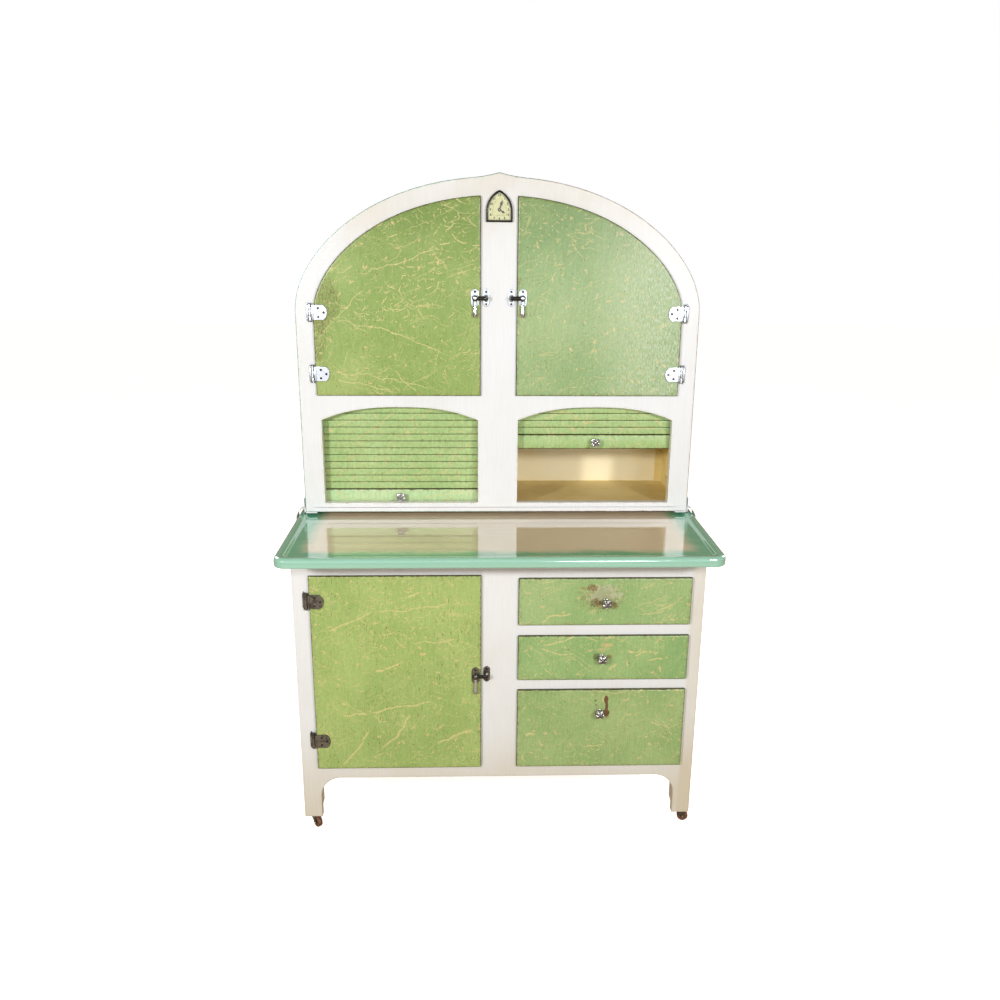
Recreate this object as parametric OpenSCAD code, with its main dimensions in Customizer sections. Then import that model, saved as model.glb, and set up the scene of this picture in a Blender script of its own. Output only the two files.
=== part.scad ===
// Free-standing kitchen cabinet with an arched hutch, a sliding enamelled worktop and a base on casters.
// Millimetres. +Z is up, the front faces -Y and the origin is under the middle of the bounding box.

/* [Overall] */
// Depth from the worktop's front edge to the hutch's back
overall_d = 632; // [600:2:680]
// Width of the base and of the hutch
carcass_w = 1016; // [980:2:1060]
// Thickness of the face frame
frame_t = 20; // [16:1:24]
// Thickness of the side boards
side_t = 12; // [9:1:14]

/* [Base] */
// How far the base stands back from the worktop's front edge
worktop_overhang = 116; // [60:2:140]
// Height of the leg ends above the floor
leg_z = 37; // [36:1:40]
// Top of the base carcass
base_top = 772; // [768:1:773]
// Side of a corner post, across the front
post_w = 46; // [44:1:48]
// Side of a corner post, front to back
post_d = 44; // [40:1:48]
// Bottom of the apron
apron_z = 152; // [140:2:160]
// Radius of the apron's bracket curves
bracket_r = 54; // [40:1:60]
// Top of the base floor board and bottom of the openings
base_floor_z = 192; // [190:1:194]
// Bottom of the base top rail
top_rail_z = 703; // [701:1:704]
// Height of the cupboard shelf
cupboard_shelf_z = 452; // [430:2:520]

/* [Worktop] */
// Width of the worktop
worktop_w = 1053; // [1046:1:1054]
// Underside of the worktop
worktop_z = 774; // [774:1:775]
// Thickness of the worktop
worktop_t = 24; // [22:1:24]
// Radius of the worktop's front corners, seen from above
worktop_corner_r = 30; // [20:2:40]
// Length of worktop, front to back
worktop_d = 616; // [560:2:620]
// Height of the worktop's raised rim
worktop_rim = 6; // [3:1:8]

/* [Hutch] */
// How far the hutch front stands back from the base front
hutch_setback = 240; // [230:2:250]
// Bottom of the hutch
hutch_z = 802; // [802:1:804]
// Top of the hutch's bottom rail
sill_z = 827; // [825:1:830]
// Height where the outer arch springs
spring_z = 1324; // [1320:1:1330]
// Rise of the outer arch
arch_rise = 323; // [316:1:330]
// Extra height of the pointed crown
crown_lift = 9; // [0:1:12]
// Half width of the pointed crown
crown_half_w = 68; // [40:2:90]
// Top of the mid shelf, where the upper openings begin
mid_shelf_z = 1122; // [1120:1:1124]
// Height of the upper shelf's top face
upper_shelf_z = 1362; // [1300:2:1380]

/* [Doors and drawers] */
// How far a lipped front stands proud of the frame
proud = 9; // [8:1:10]
// Thickness of the step that sits inside the opening
step_t = 9; // [6:1:10]
// Length of the drawer boxes
drawer_d = 440; // [400:10:460]
// Thickness of the drawer box walls
drawer_wall = 10; // [8:1:12]
// Width across a knob's head
knob_w = 23; // [20:1:25]
// Pitch of the tambour slats
slat_pitch = 18.5; // [17:0.5:19]
// Travel of the tambours
tambour_travel = 148; // [140:1:150]

/* [Clock] */
// Centre height of the clock's hands
clock_z = 1570; // [1568:1:1571]
// Half width of the clock case
clock_half_w = 32.5; // [28:0.5:34]
// Clockwise angle of the minute hand from 12
minute_angle = 19; // [0:1:359]
// Clockwise angle of the hour hand from 12
hour_angle = 121.6; // [0:0.1:359]

/* [Casters] */
// Radius of a caster wheel
wheel_r = 14.5; // [14:0.5:14.5]
// How far the wheel trails behind its swivel pin
trail = 12; // [10:1:12]

/* [Hidden] */
$fn = 48;

CREAM = "#efe9d9";
BUFF = "#dcc592";
GREEN = "#98b866";
MINT = "#8fc9a8";
NICKEL = "#b9bcbd";
DARK_NICKEL = "#6c6a66";
BROWN = "#7a4b2e";
BLACK = "#26241f";

half_w = carcass_w / 2;
y_front = -overall_d / 2;
y_back = overall_d / 2;
base_y = y_front + worktop_overhang;
hutch_y = base_y + hutch_setback;
post_in = half_w - post_w;
back_t = 7;
fit = 0.05;

// Door and drawer fronts of the base: x range and z range of the lipped face
cupboard_x = [-466, -45];
drawer_x = [46, 475];
cupboard_zs = [184, 715];
drawer_zs = [[582, 707], [432, 554], [184, 405]];
drawer_knobs = [[262, 645], [257, 495], [256, 343]];
lip = 8;
gap = 2;
stile_x = [cupboard_x[1] - lip, drawer_x[0] + lip];

// The upper doors follow a smaller ellipse than the outer arch
door_half_w = 463;
door_arch_z = 1317;
door_arch_rise = 287;
door_in_x = 45;
door_bottom_z = mid_shelf_z - lip;
opening_top_z = 1594;

// Tambour openings
tambour_x = [52, 455];
tambour_spring_z = 1049;
tambour_top_z = 1083;
floor_z = 816;
shelf_t = 12;
slat_count = 12;
bar_h = 39;
bar_z = 820;
slat_y = hutch_y + frame_t + 6;
slat_t = 8;
knob_x = 257;

// Hinges
pin_out = 7;
pin_y = 6;
leaf_t = 2;
knuckle_r = 4.5;
pin_r = 1.5;
hinge_h = 49;
hinge_leaf = 36;
upper_hinge_zs = [1170, 1323];
cupboard_hinge_zs = [266, 649];

// Latches
plate_x = 14.5;
keeper_x = 13.5;
upper_latch_z = 1360;
cupboard_latch_z = 448;
stud_r = 2.5;

// Casters: x, y and resting swivel angle of each swivel pin
caster_x = half_w - post_w / 2;
casters = [
    [-caster_x, base_y + post_d / 2, -140],
    [caster_x, base_y + post_d / 2, -96],
    [-caster_x, y_back - post_d / 2, 128],
    [caster_x, y_back - post_d / 2, -112]
];
socket_r = 7;
stem_r = 4;

// ---------- shared shapes ----------

// A box between two corners, given as ranges
module block(x, y, z)
    translate([x[0], y[0], z[0]])
        cube([x[1] - x[0], y[1] - y[0], z[1] - z[0]]);

// A board cut to an outline drawn in X and Z
module board(y)
    translate([0, y[1], 0])
        rotate([90, 0, 0])
            linear_extrude(y[1] - y[0])
                children();

// A cylinder along Y
module rod_y(x, y, z, r)
    translate([x, y[1], z])
        rotate([90, 0, 0])
            cylinder(r = r, h = y[1] - y[0]);

// The same shape on the left and the right
module both_sides() {
    children();
    mirror([1, 0, 0])
        children();
}

// The bent arches are ellipses with slightly drawn-in shoulders; t is 0 at the right springing
arch_slack = 0.025;
function arch_x(a, t) = a * cos(t) * (1 - arch_slack * pow(abs(sin(2 * t)), 1.5));

// Points of an arch, from the right springing to the left one
function arch(a, b, z, n = 64) = [for (i = [0:n]) [arch_x(a, 180 * i / n), z + b * sin(180 * i / n)]];

// The pointed crown is added near the middle
function crown(x) = crown_lift * pow(max(0, 1 - abs(x) / crown_half_w), 2);
function outer_arch(a, b) = [for (p = arch(a, b, spring_z, 96)) [p[0], p[1] + crown(p[0])]];

// Outline of the hutch, from its bottom to the crown
module hutch_outline(inset, bottom)
    polygon(concat([[-half_w + inset, bottom], [half_w - inset, bottom]],
        outer_arch(half_w - inset, arch_rise - inset)));

// Outline of the right upper door
module door_outline(inset) {
    a = door_half_w - inset;
    b = door_arch_rise - inset;
    x_in = door_in_x + inset;
    t_end = acos(x_in / a) - 0.12;
    polygon(concat([[x_in, door_bottom_z + inset], [a, door_bottom_z + inset]],
        [for (i = [0:32]) [arch_x(a, t_end * i / 32), door_arch_z + b * sin(t_end * i / 32)]],
        [[x_in, door_arch_z + b * sin(t_end)]]));
}

// Height of a tambour opening's arched top at distance x from the opening's middle
tambour_half = (tambour_x[1] - tambour_x[0]) / 2;
tambour_mid = (tambour_x[1] + tambour_x[0]) / 2;
function tambour_arch(x) = tambour_spring_z
    + (tambour_top_z - tambour_spring_z) * (1 - pow(abs(x) / tambour_half, 2.6));

// Outline of the arched top of the right tambour opening
module tambour_opening()
    polygon(concat([[tambour_x[0], sill_z], [tambour_x[1], sill_z]],
        [for (i = [-16:16]) [tambour_mid - i * tambour_half / 16, tambour_arch(i * tambour_half / 16)]]));

// A faceted pull with its stem, standing on a front at depth y
module pull(x, y, z) {
    rod_y(x, [y - 3, y], z, 8);
    rod_y(x, [y - 12, y - 2], z, 4.5);
    translate([x, y - 11, z])
        rotate([90, 22.5, 0]) {
            cylinder(r = knob_w / 2 / cos(22.5), h = 6, $fn = 8);
            translate([0, 0, 6])
                cylinder(r1 = knob_w / 2 / cos(22.5), r2 = knob_w / 3, h = 4, $fn = 8);
        }
}

// ---------- base ----------

module base_posts()
    color(CREAM)
        both_sides()
            for (y = [base_y, y_back - post_d])
                difference() {
                    block([post_in, half_w], [y, y + post_d], [leg_z, base_top]);
                    translate([caster_x, y + post_d / 2, leg_z - 1])
                        cylinder(r = socket_r, h = 41);
                }

// Rail at the top of the front, the rails between the drawers, and the rails of the sides
module base_rails()
    color(CREAM) {
        block([-post_in, post_in], [base_y, base_y + frame_t], [top_rail_z, base_top]);
        for (i = [0:1])
            block([stile_x[1], post_in], [base_y, base_y + frame_t],
                [drawer_zs[i + 1][1] - lip, drawer_zs[i][0] + lip]);
        both_sides()
            for (z = [[apron_z, 200], [700, base_top]])
                block([half_w - 20, half_w], [base_y + post_d, y_back - post_d], z);
    }

module base_apron()
    color(CREAM)
        board([base_y, base_y + frame_t])
            difference() {
                translate([-post_in, apron_z - bracket_r])
                    square([2 * post_in, base_floor_z - apron_z + bracket_r]);
                translate([-post_in + bracket_r, apron_z - 2 * bracket_r])
                    square([2 * (post_in - bracket_r), 2 * bracket_r]);
                for (x = [-1, 1])
                    translate([x * (post_in - bracket_r), apron_z - bracket_r])
                        circle(r = bracket_r);
            }

module base_centre_stile()
    color(CREAM)
        block(stile_x, [base_y, base_y + frame_t], [base_floor_z, top_rail_z]);

module base_side_panels()
    color(CREAM)
        both_sides()
            block([half_w - 8 - side_t, half_w - 8], [base_y + post_d, y_back - post_d], [200, 700]);

module base_back()
    color(CREAM)
        block([-post_in, post_in], [y_back - back_t, y_back], [apron_z, base_top]);

// Floor, cupboard shelf and the partition between cupboard and drawers
module base_inner_boards()
    color(BUFF) {
        for (z = [base_floor_z, cupboard_shelf_z])
            difference() {
                block([-half_w + 20, z == base_floor_z ? half_w - 20 : -8],
                    [base_y + frame_t, y_back - back_t], [z - 16, z]);
                for (x = [-half_w, post_in])
                    for (y = [base_y, y_back - post_d])
                        block([x, x + post_w], [y, y + post_d], [z - 20, z + 4]);
            }
        block([-8, 8], [base_y + frame_t, y_back - back_t], [base_floor_z, base_top - 4]);
    }

// Guides on both sides of every drawer box; the upper two drawers also run on ledges
module drawer_runners()
    color(BUFF)
        for (i = [0:2]) {
            z = drawer_zs[i][0] + lip;
            ledge = i == 2 ? z : z - 14;
            block([8, stile_x[1]], [base_y + frame_t, y_back - 60], [ledge, z + 18]);
            block([post_in, half_w - 20], [base_y + post_d, y_back - 60], [ledge, z + 18]);
            if (i < 2) {
                block([stile_x[1] - 0.5, 70], [base_y + frame_t, y_back - 60], [ledge, z]);
                block([446, post_in + 0.5], [base_y + post_d, y_back - 60], [ledge, z]);
            }
        }

// ---------- hutch ----------

stile_in = door_half_w - lip;

// Side stiles, and the centre stile above and below the mid rail
module hutch_stiles()
    color(CREAM) {
        both_sides()
            block([stile_in, half_w], [hutch_y, hutch_y + frame_t], [hutch_z, door_arch_z]);
        block([-tambour_x[0], tambour_x[0]], [hutch_y, hutch_y + frame_t], [sill_z, tambour_spring_z]);
        difference() {
            block([-door_in_x - lip, door_in_x + lip], [hutch_y, hutch_y + frame_t],
                [mid_shelf_z, opening_top_z]);
            rod_y(0, [hutch_y - 1, hutch_y + frame_t + 1], clock_z, 22);
        }
    }

// Bottom rail, and the mid rail with the arched heads of the tambour openings
module hutch_rails()
    color(CREAM) {
        block([-stile_in, stile_in], [hutch_y, hutch_y + frame_t], [hutch_z, sill_z]);
        board([hutch_y, hutch_y + frame_t])
            difference() {
                translate([-stile_in, tambour_spring_z])
                    square([2 * stile_in, mid_shelf_z - tambour_spring_z]);
                tambour_opening();
                mirror([1, 0])
                    tambour_opening();
            }
    }

module hutch_arch_head()
    color(CREAM)
        board([hutch_y, hutch_y + frame_t])
            difference() {
                hutch_outline(0, door_arch_z);
                intersection() {
                    polygon(arch(stile_in, door_arch_rise - lip, door_arch_z));
                    translate([-half_w, 0])
                        square([2 * half_w, opening_top_z]);
                }
                translate([-stile_in, door_arch_z - 1])
                    square([2 * stile_in, 1.01]);
            }

module hutch_sides()
    color(CREAM)
        both_sides()
            block([half_w - side_t, half_w], [hutch_y + frame_t, y_back - back_t], [hutch_z, spring_z]);

// Bent board over the arch
module hutch_roof()
    color(CREAM)
        board([hutch_y + frame_t, y_back - back_t])
            difference() {
                hutch_outline(0, spring_z);
                hutch_outline(9, spring_z - 1);
            }

module hutch_back()
    color(BUFF)
        board([y_back - back_t, y_back])
            hutch_outline(0, hutch_z);

// Floor, mid shelf, upper shelf and the partition between the tambour compartments
module hutch_inner_boards()
    color(BUFF) {
        for (z = [floor_z, mid_shelf_z])
            block([-half_w + side_t, half_w - side_t], [hutch_y + frame_t, y_back - back_t], [z - shelf_t, z]);
        block([-490, 490], [hutch_y + 60, y_back - back_t], [upper_shelf_z - shelf_t, upper_shelf_z]);
        block([-8, 8], [hutch_y + frame_t, y_back - back_t], [floor_z, mid_shelf_z - shelf_t]);
    }

// Grooved guides on both sides of each tambour
module tambour_tracks()
    color(BUFF)
        both_sides() {
            difference() {
                block([8, 50], [hutch_y + frame_t, hutch_y + 50], [floor_z, mid_shelf_z - shelf_t]);
                block([43, 51], [slat_y - 3, slat_y + 11], [floor_z - 1, mid_shelf_z]);
            }
            difference() {
                block([460, half_w - side_t], [hutch_y + frame_t, hutch_y + 50],
                    [floor_z, mid_shelf_z - shelf_t]);
                block([459, 467], [slat_y - 3, slat_y + 11], [floor_z - 1, mid_shelf_z]);
            }
        }

// C-shaped straps that carry the hutch around the edges of the sliding worktop
strap_r = 24;
strap_t = 3.5;
strap_z = 786;

module hutch_brackets()
    color(CREAM)
        both_sides()
            for (y = [hutch_y + 1, y_back - 85])
                board([y, y + 38]) {
                    intersection() {
                        translate([half_w, strap_z])
                            difference() {
                                circle(r = strap_r + strap_t);
                                circle(r = strap_r);
                            }
                        translate([half_w, 0])
                            square([60, 2000]);
                    }
                    for (z = [strap_z - strap_r - 28, strap_z + strap_r])
                        translate([half_w, z])
                            square([strap_t, 28]);
                }

// ---------- worktop ----------

// Plan of the worktop with rounded corners, drawn in X and Y
module worktop_plan(inset) {
    w = worktop_w / 2 - inset;
    y0 = y_front + inset;
    y1 = y_front + worktop_d - inset;
    r = worktop_corner_r - inset;
    translate([-w + r, y0])
        square([2 * (w - r), y1 - y0]);
    translate([-w, y0 + r])
        square([2 * w, y1 - y0 - 2 * r]);
    for (x = [-w + r, w - r])
        for (y = [y0 + r, y1 - r])
            translate([x, y])
                circle(r = r);
}

// Enamelled steel pan with a raised rim, open underneath
module worktop_pan()
    color(MINT)
        translate([0, 0, worktop_z])
            difference() {
                linear_extrude(worktop_t)
                    worktop_plan(0);
                translate([0, 0, -1])
                    linear_extrude(worktop_t - worktop_rim - 2)
                        worktop_plan(4);
                translate([0, 0, -1])
                    linear_extrude(worktop_t - 2)
                        difference() {
                            worktop_plan(4);
                            worktop_plan(22);
                        }
                translate([0, 0, worktop_t - worktop_rim])
                    linear_extrude(worktop_rim + 1)
                        worktop_plan(25);
            }

module worktop_core()
    color(BUFF)
        translate([0, 0, worktop_z])
            linear_extrude(worktop_t - worktop_rim - 3)
                worktop_plan(4.2);

// ---------- doors ----------

module upper_door()
    color(GREEN) {
        board([hutch_y - proud, hutch_y])
            door_outline(0);
        board([hutch_y - 0.01, hutch_y + step_t])
            door_outline(lip + gap);
    }

module upper_left_door()
    mirror([1, 0, 0])
        upper_door();

module upper_right_door()
    upper_door();

module cupboard_door()
    color(GREEN) {
        block(cupboard_x, [base_y - proud, base_y], cupboard_zs);
        block([-post_in + gap, stile_x[0] - gap], [base_y - 0.01, base_y + step_t],
            [base_floor_z + gap, top_rail_z - gap]);
    }

// The part of a hinge on the frame, for a pin at x and a frame face at y: narrow leaf with a notch
// for the door's knuckle, two knuckles and the pin
module frame_leaf(x, y, z) {
    difference() {
        block([x - 12, x], [y - leaf_t, y], [z - hinge_h / 2, z + hinge_h / 2]);
        block([x - 3, x + 1], [y - 3, y + 1], [z - 8.3, z + 8.3]);
    }
    block([x - knuckle_r, x], [y - pin_y, y], [z - 20, z - 8.3]);
    block([x - knuckle_r, x], [y - pin_y, y], [z + 8.3, z + 20]);
    translate([x, y - pin_y, z - 20])
        cylinder(r = knuckle_r, h = 11.7);
    translate([x, y - pin_y, z + 8.3])
        cylinder(r = knuckle_r, h = 11.7);
    translate([x, y - pin_y, z - 22])
        cylinder(r = pin_r, h = 44);
}

// The part of a hinge on the door: D-shaped leaf and the middle knuckle, for a door to the right of x
module door_leaf(x, y, z) {
    face = y - proud;
    translate([0, face, 0])
        rotate([90, 0, 0])
            linear_extrude(leaf_t) {
                translate([x, z - 8])
                    square([pin_out, 16]);
                translate([x + pin_out, z - hinge_leaf / 2])
                    square([hinge_leaf / 2, hinge_leaf]);
                translate([x + pin_out + hinge_leaf / 2, z])
                    circle(r = hinge_leaf / 2);
            }
    difference() {
        union() {
            translate([x, y - pin_y, z - 8])
                cylinder(r = knuckle_r, h = 16);
            block([x, x + knuckle_r], [face - leaf_t, y - pin_y], [z - 8, z + 8]);
        }
        translate([x, y - pin_y, z - 9])
            cylinder(r = pin_r + fit, h = 18);
    }
}

module frame_hinge_leaves()
    color(NICKEL) {
        for (z = upper_hinge_zs) {
            frame_leaf(-door_half_w - pin_out, hutch_y, z);
            mirror([1, 0, 0])
                frame_leaf(-door_half_w - pin_out, hutch_y, z);
        }
        for (z = cupboard_hinge_zs)
            frame_leaf(cupboard_x[0] - pin_out, base_y, z);
    }

// Elongated six-sided plate of a latch
module latch_plate(x, y, z, w, h)
    translate([0, y, 0])
        rotate([90, 0, 0])
            linear_extrude(leaf_t)
                polygon([[x - w / 2, z - h / 3], [x - w / 6, z - h / 2], [x + w / 6, z - h / 2],
                    [x + w / 2, z - h / 3], [x + w / 2, z + h / 3], [x + w / 6, z + h / 2],
                    [x - w / 6, z + h / 2], [x - w / 2, z + h / 3]]);

// Latch plate and stud on a door whose free edge is at x
module latch_base(x, y, z) {
    face = y - proud;
    latch_plate(x - plate_x, face, z, 20, 46);
    rod_y(x - plate_x, [face - 10, face - leaf_t + 0.5], z, stud_r);
    rod_y(x - plate_x, [face - 11.5, face - 9.5], z, stud_r + 1.8);
}

// Lever with its drop handle, hanging from the stud, its arm in front of the keeper
module latch_lever(x, y, z) {
    face = y - proud;
    color(NICKEL)
        difference() {
            union() {
                rod_y(x - plate_x, [face - 9, face - leaf_t - 1], z, 6.5);
                block([x - plate_x, x + keeper_x + 4], [face - 8, face - 4], [z - 4, z + 3]);
                board([face - 8, face - 4])
                    polygon([[x - plate_x - 5, z], [x - plate_x - 4, z - 22], [x - plate_x - 6, z - 40],
                        [x - plate_x - 3, z - 48], [x - plate_x + 3, z - 48], [x - plate_x + 6, z - 40],
                        [x - plate_x + 4, z - 22], [x - plate_x + 5, z]]);
            }
            rod_y(x - plate_x, [face - 20, face + 1], z, stud_r + fit);
        }
}

module door_fittings(x_pin, x_free, y, hinge_zs, latch_z)
    color(NICKEL) {
        for (z = hinge_zs)
            door_leaf(x_pin, y, z);
        latch_base(x_free, y, latch_z);
    }

module upper_left_fittings()
    door_fittings(-door_half_w - pin_out, -door_in_x, hutch_y, upper_hinge_zs, upper_latch_z);

module upper_left_lever()
    latch_lever(-door_in_x, hutch_y, upper_latch_z);

module upper_right_fittings()
    mirror([1, 0, 0])
        upper_left_fittings();

module upper_right_lever()
    mirror([1, 0, 0])
        upper_left_lever();

module cupboard_fittings()
    color(DARK_NICKEL)
        door_fittings(cupboard_x[0] - pin_out, cupboard_x[1], base_y, cupboard_hinge_zs, cupboard_latch_z);

module cupboard_lever()
    latch_lever(cupboard_x[1], base_y, cupboard_latch_z);

// A keeper on the frame: a plate with a ramp that the lever's arm rides up
module keeper(x, y, z) {
    latch_plate(x, y, z, 17, 44);
    block([x - 5, x + 5], [y - 9, y - leaf_t + 0.5], [z - 9, z + 7]);
}

module latch_keepers()
    color(NICKEL) {
        both_sides()
            keeper(door_in_x - keeper_x, hutch_y, upper_latch_z);
        keeper(cupboard_x[1] + keeper_x, base_y, cupboard_latch_z);
    }

// ---------- drawers ----------

module drawer_front(i)
    color(GREEN) {
        z = drawer_zs[i];
        block(drawer_x, [base_y - proud, base_y], z);
        block([stile_x[1] + gap, post_in - gap], [base_y - 0.01, base_y + step_t],
            [z[0] + lip + gap, min(z[1] - lip, top_rail_z) - gap]);
    }

module drawer_box(i)
    color(BUFF) {
        z0 = drawer_zs[i][0] + lip + 0.5;
        z1 = min(drawer_zs[i][1] - lip, top_rail_z) - 8;
        y0 = base_y + step_t;
        x0 = stile_x[1] + gap;
        x1 = post_in - gap;
        difference() {
            block([x0, x1], [y0, y0 + drawer_d], [z0, z1]);
            block([x0 + drawer_wall, x1 - drawer_wall], [y0 + drawer_wall, y0 + drawer_d - drawer_wall],
                [z0 + 6, z1 + 1]);
        }
    }

module drawer_knob(i)
    color(DARK_NICKEL)
        pull(drawer_knobs[i][0], base_y - proud, drawer_knobs[i][1]);

module top_drawer_front()
    drawer_front(0);

module top_drawer_box()
    drawer_box(0);

module top_drawer_knob()
    drawer_knob(0);

module middle_drawer_front()
    drawer_front(1);

module middle_drawer_box()
    drawer_box(1);

module middle_drawer_knob()
    drawer_knob(1);

module bottom_drawer_front()
    drawer_front(2);

module bottom_drawer_box()
    drawer_box(2);

module bottom_drawer_knob()
    drawer_knob(2);

// ---------- tambours ----------

slat_x = [44, 466];

// The bar at the bottom of a right-hand tambour, raised by lift
module tambour_bar(lift)
    color(GREEN)
        block(slat_x, [slat_y - 2, slat_y + 10], [bar_z + lift, bar_z + bar_h + lift]);

// The flexible curtain above the bar: count slats on a cloth backing
module tambour_slats(lift, count)
    color(GREEN) {
        z0 = bar_z + bar_h + lift;
        block(slat_x, [slat_y + slat_t - 2, slat_y + slat_t], [z0, z0 + count * slat_pitch]);
        for (i = [0:count - 1])
            block(slat_x, [slat_y, slat_y + slat_t - 1.9], [z0 + i * slat_pitch + 1.2, z0 + (i + 1) * slat_pitch]);
    }

module left_tambour_bar()
    mirror([1, 0, 0])
        tambour_bar(0);

module left_tambour_slats()
    mirror([1, 0, 0])
        tambour_slats(0, slat_count);

module left_tambour_knob()
    color(NICKEL)
        pull(-knob_x, slat_y - 2, bar_z + bar_h / 2);

module right_tambour_bar()
    tambour_bar(tambour_travel);

module right_tambour_slats()
    tambour_slats(tambour_travel, slat_count - 8);

module right_tambour_knob()
    color(NICKEL)
        pull(knob_x, slat_y - 2, bar_z + bar_h / 2 + tambour_travel);

// ---------- clock ----------

clock_base_z = clock_z - 29;
clock_spring_z = clock_z - 4;
clock_arc_r = 54;

// Pointed-arch outline: two large circles overlap above a rectangle
module clock_shape(inset) {
    w = clock_half_w - inset;
    intersection() {
        translate([clock_half_w - clock_arc_r, clock_spring_z])
            circle(r = clock_arc_r - inset, $fn = 96);
        translate([clock_arc_r - clock_half_w, clock_spring_z])
            circle(r = clock_arc_r - inset, $fn = 96);
        translate([-w, clock_spring_z])
            square([2 * w, 100]);
    }
    translate([-w, clock_base_z + inset])
        square([2 * w, clock_spring_z - clock_base_z - inset]);
}

// Bezel with a back plate, and the movement's can behind the frame
module clock_case()
    color(BLACK) {
        board([hutch_y - 8, hutch_y])
            difference() {
                clock_shape(0);
                clock_shape(4);
            }
        board([hutch_y - 1.5, hutch_y])
            clock_shape(2);
        rod_y(0, [hutch_y - 0.5, hutch_y + 44], clock_z, 21.7);
    }

module clock_dial()
    color("#cfd6a4") {
        board([hutch_y - 2.6, hutch_y - 1.5])
            clock_shape(4.2);
        rod_y(0, [hutch_y - 5.6, hutch_y - 2], clock_z, 0.8);
    }

module clock_glass()
    color("#dfe8e4")
        board([hutch_y - 7.6, hutch_y - 6.4])
            clock_shape(4.1);

// A hand in the dial's plane: hub and a tapering blade, length along +Z before it is turned
module hand(y, angle, length, w)
    color(BLACK)
        translate([0, 0, clock_z])
            rotate([0, angle, 0])
                difference() {
                    board([y, y + 0.5]) {
                        circle(r = 2.2);
                        polygon([[-w / 2, -4], [w / 2, -4], [w / 2, length * 0.7], [0, length],
                            [-w / 2, length * 0.7]]);
                    }
                    rod_y(0, [y - 1, y + 2], 0, 0.8 + fit);
                }

module clock_minute_hand()
    hand(hutch_y - 5.2, minute_angle, 21, 1.4);

module clock_hour_hand()
    hand(hutch_y - 4.2, hour_angle, 14, 1.8);

// ---------- casters ----------

module caster_sockets()
    color(DARK_NICKEL)
        for (c = casters)
            translate([c[0], c[1], 0])
                difference() {
                    union() {
                        translate([0, 0, leg_z - 2])
                            cylinder(r = 15, h = 2);
                        translate([0, 0, leg_z - 1])
                            cylinder(r = socket_r, h = 39);
                    }
                    translate([0, 0, leg_z - 3])
                        cylinder(r = stem_r + fit, h = 50);
                }

// Fork with its stem and axle; the wheel trails along +Y before the fork is turned
module caster_fork(c)
    color(DARK_NICKEL)
        translate([c[0], c[1], 0])
            rotate([0, 0, c[2]]) {
                translate([0, 0, 31])
                    cylinder(r = stem_r, h = 40);
                translate([0, 0, 31])
                    cylinder(r = 11, h = 3);
                for (x = [-10.5, 8.5])
                    translate([x, 0, 0])
                        rotate([90, 0, 90])
                            linear_extrude(2)
                                polygon([[-8, 33], [8, 33], [trail + 6, 16], [trail + 3, 9],
                                    [trail - 3, 9], [trail - 6, 13]]);
                translate([-11.5, trail, wheel_r])
                    rotate([0, 90, 0])
                        cylinder(r = 2.5, h = 23);
            }

module caster_wheel(c)
    color(BROWN)
        translate([c[0], c[1], 0])
            rotate([0, 0, c[2]])
                translate([-7.5, trail, wheel_r])
                    rotate([0, 90, 0])
                        difference() {
                            cylinder(r = wheel_r, h = 15);
                            translate([0, 0, -1])
                                cylinder(r = 2.5 + fit, h = 17);
                        }

module front_left_fork()
    caster_fork(casters[0]);

module front_left_wheel()
    caster_wheel(casters[0]);

module front_right_fork()
    caster_fork(casters[1]);

module front_right_wheel()
    caster_wheel(casters[1]);

module rear_left_fork()
    caster_fork(casters[2]);

module rear_left_wheel()
    caster_wheel(casters[2]);

module rear_right_fork()
    caster_fork(casters[3]);

module rear_right_wheel()
    caster_wheel(casters[3]);

base_posts();
base_rails();
base_apron();
base_centre_stile();
base_side_panels();
base_back();
base_inner_boards();
drawer_runners();
hutch_stiles();
hutch_rails();
hutch_arch_head();
hutch_sides();
hutch_roof();
hutch_back();
hutch_inner_boards();
tambour_tracks();
hutch_brackets();
frame_hinge_leaves();
latch_keepers();
caster_sockets();
clock_case();
clock_dial();
clock_glass();
clock_minute_hand();
clock_hour_hand();
worktop_pan();
worktop_core();
upper_left_door();
upper_left_fittings();
upper_left_lever();
upper_right_door();
upper_right_fittings();
upper_right_lever();
cupboard_door();
cupboard_fittings();
cupboard_lever();
top_drawer_front();
top_drawer_box();
top_drawer_knob();
middle_drawer_front();
middle_drawer_box();
middle_drawer_knob();
bottom_drawer_front();
bottom_drawer_box();
bottom_drawer_knob();
left_tambour_bar();
left_tambour_slats();
left_tambour_knob();
right_tambour_bar();
right_tambour_slats();
right_tambour_knob();
front_left_fork();
front_left_wheel();
front_right_fork();
front_right_wheel();
rear_left_fork();
rear_left_wheel();
rear_right_fork();
rear_right_wheel();
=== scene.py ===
import math

import bmesh
import bpy
import numpy as np
from mathutils import Matrix, Vector, noise
from mathutils.geometry import tessellate_polygon


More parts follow.
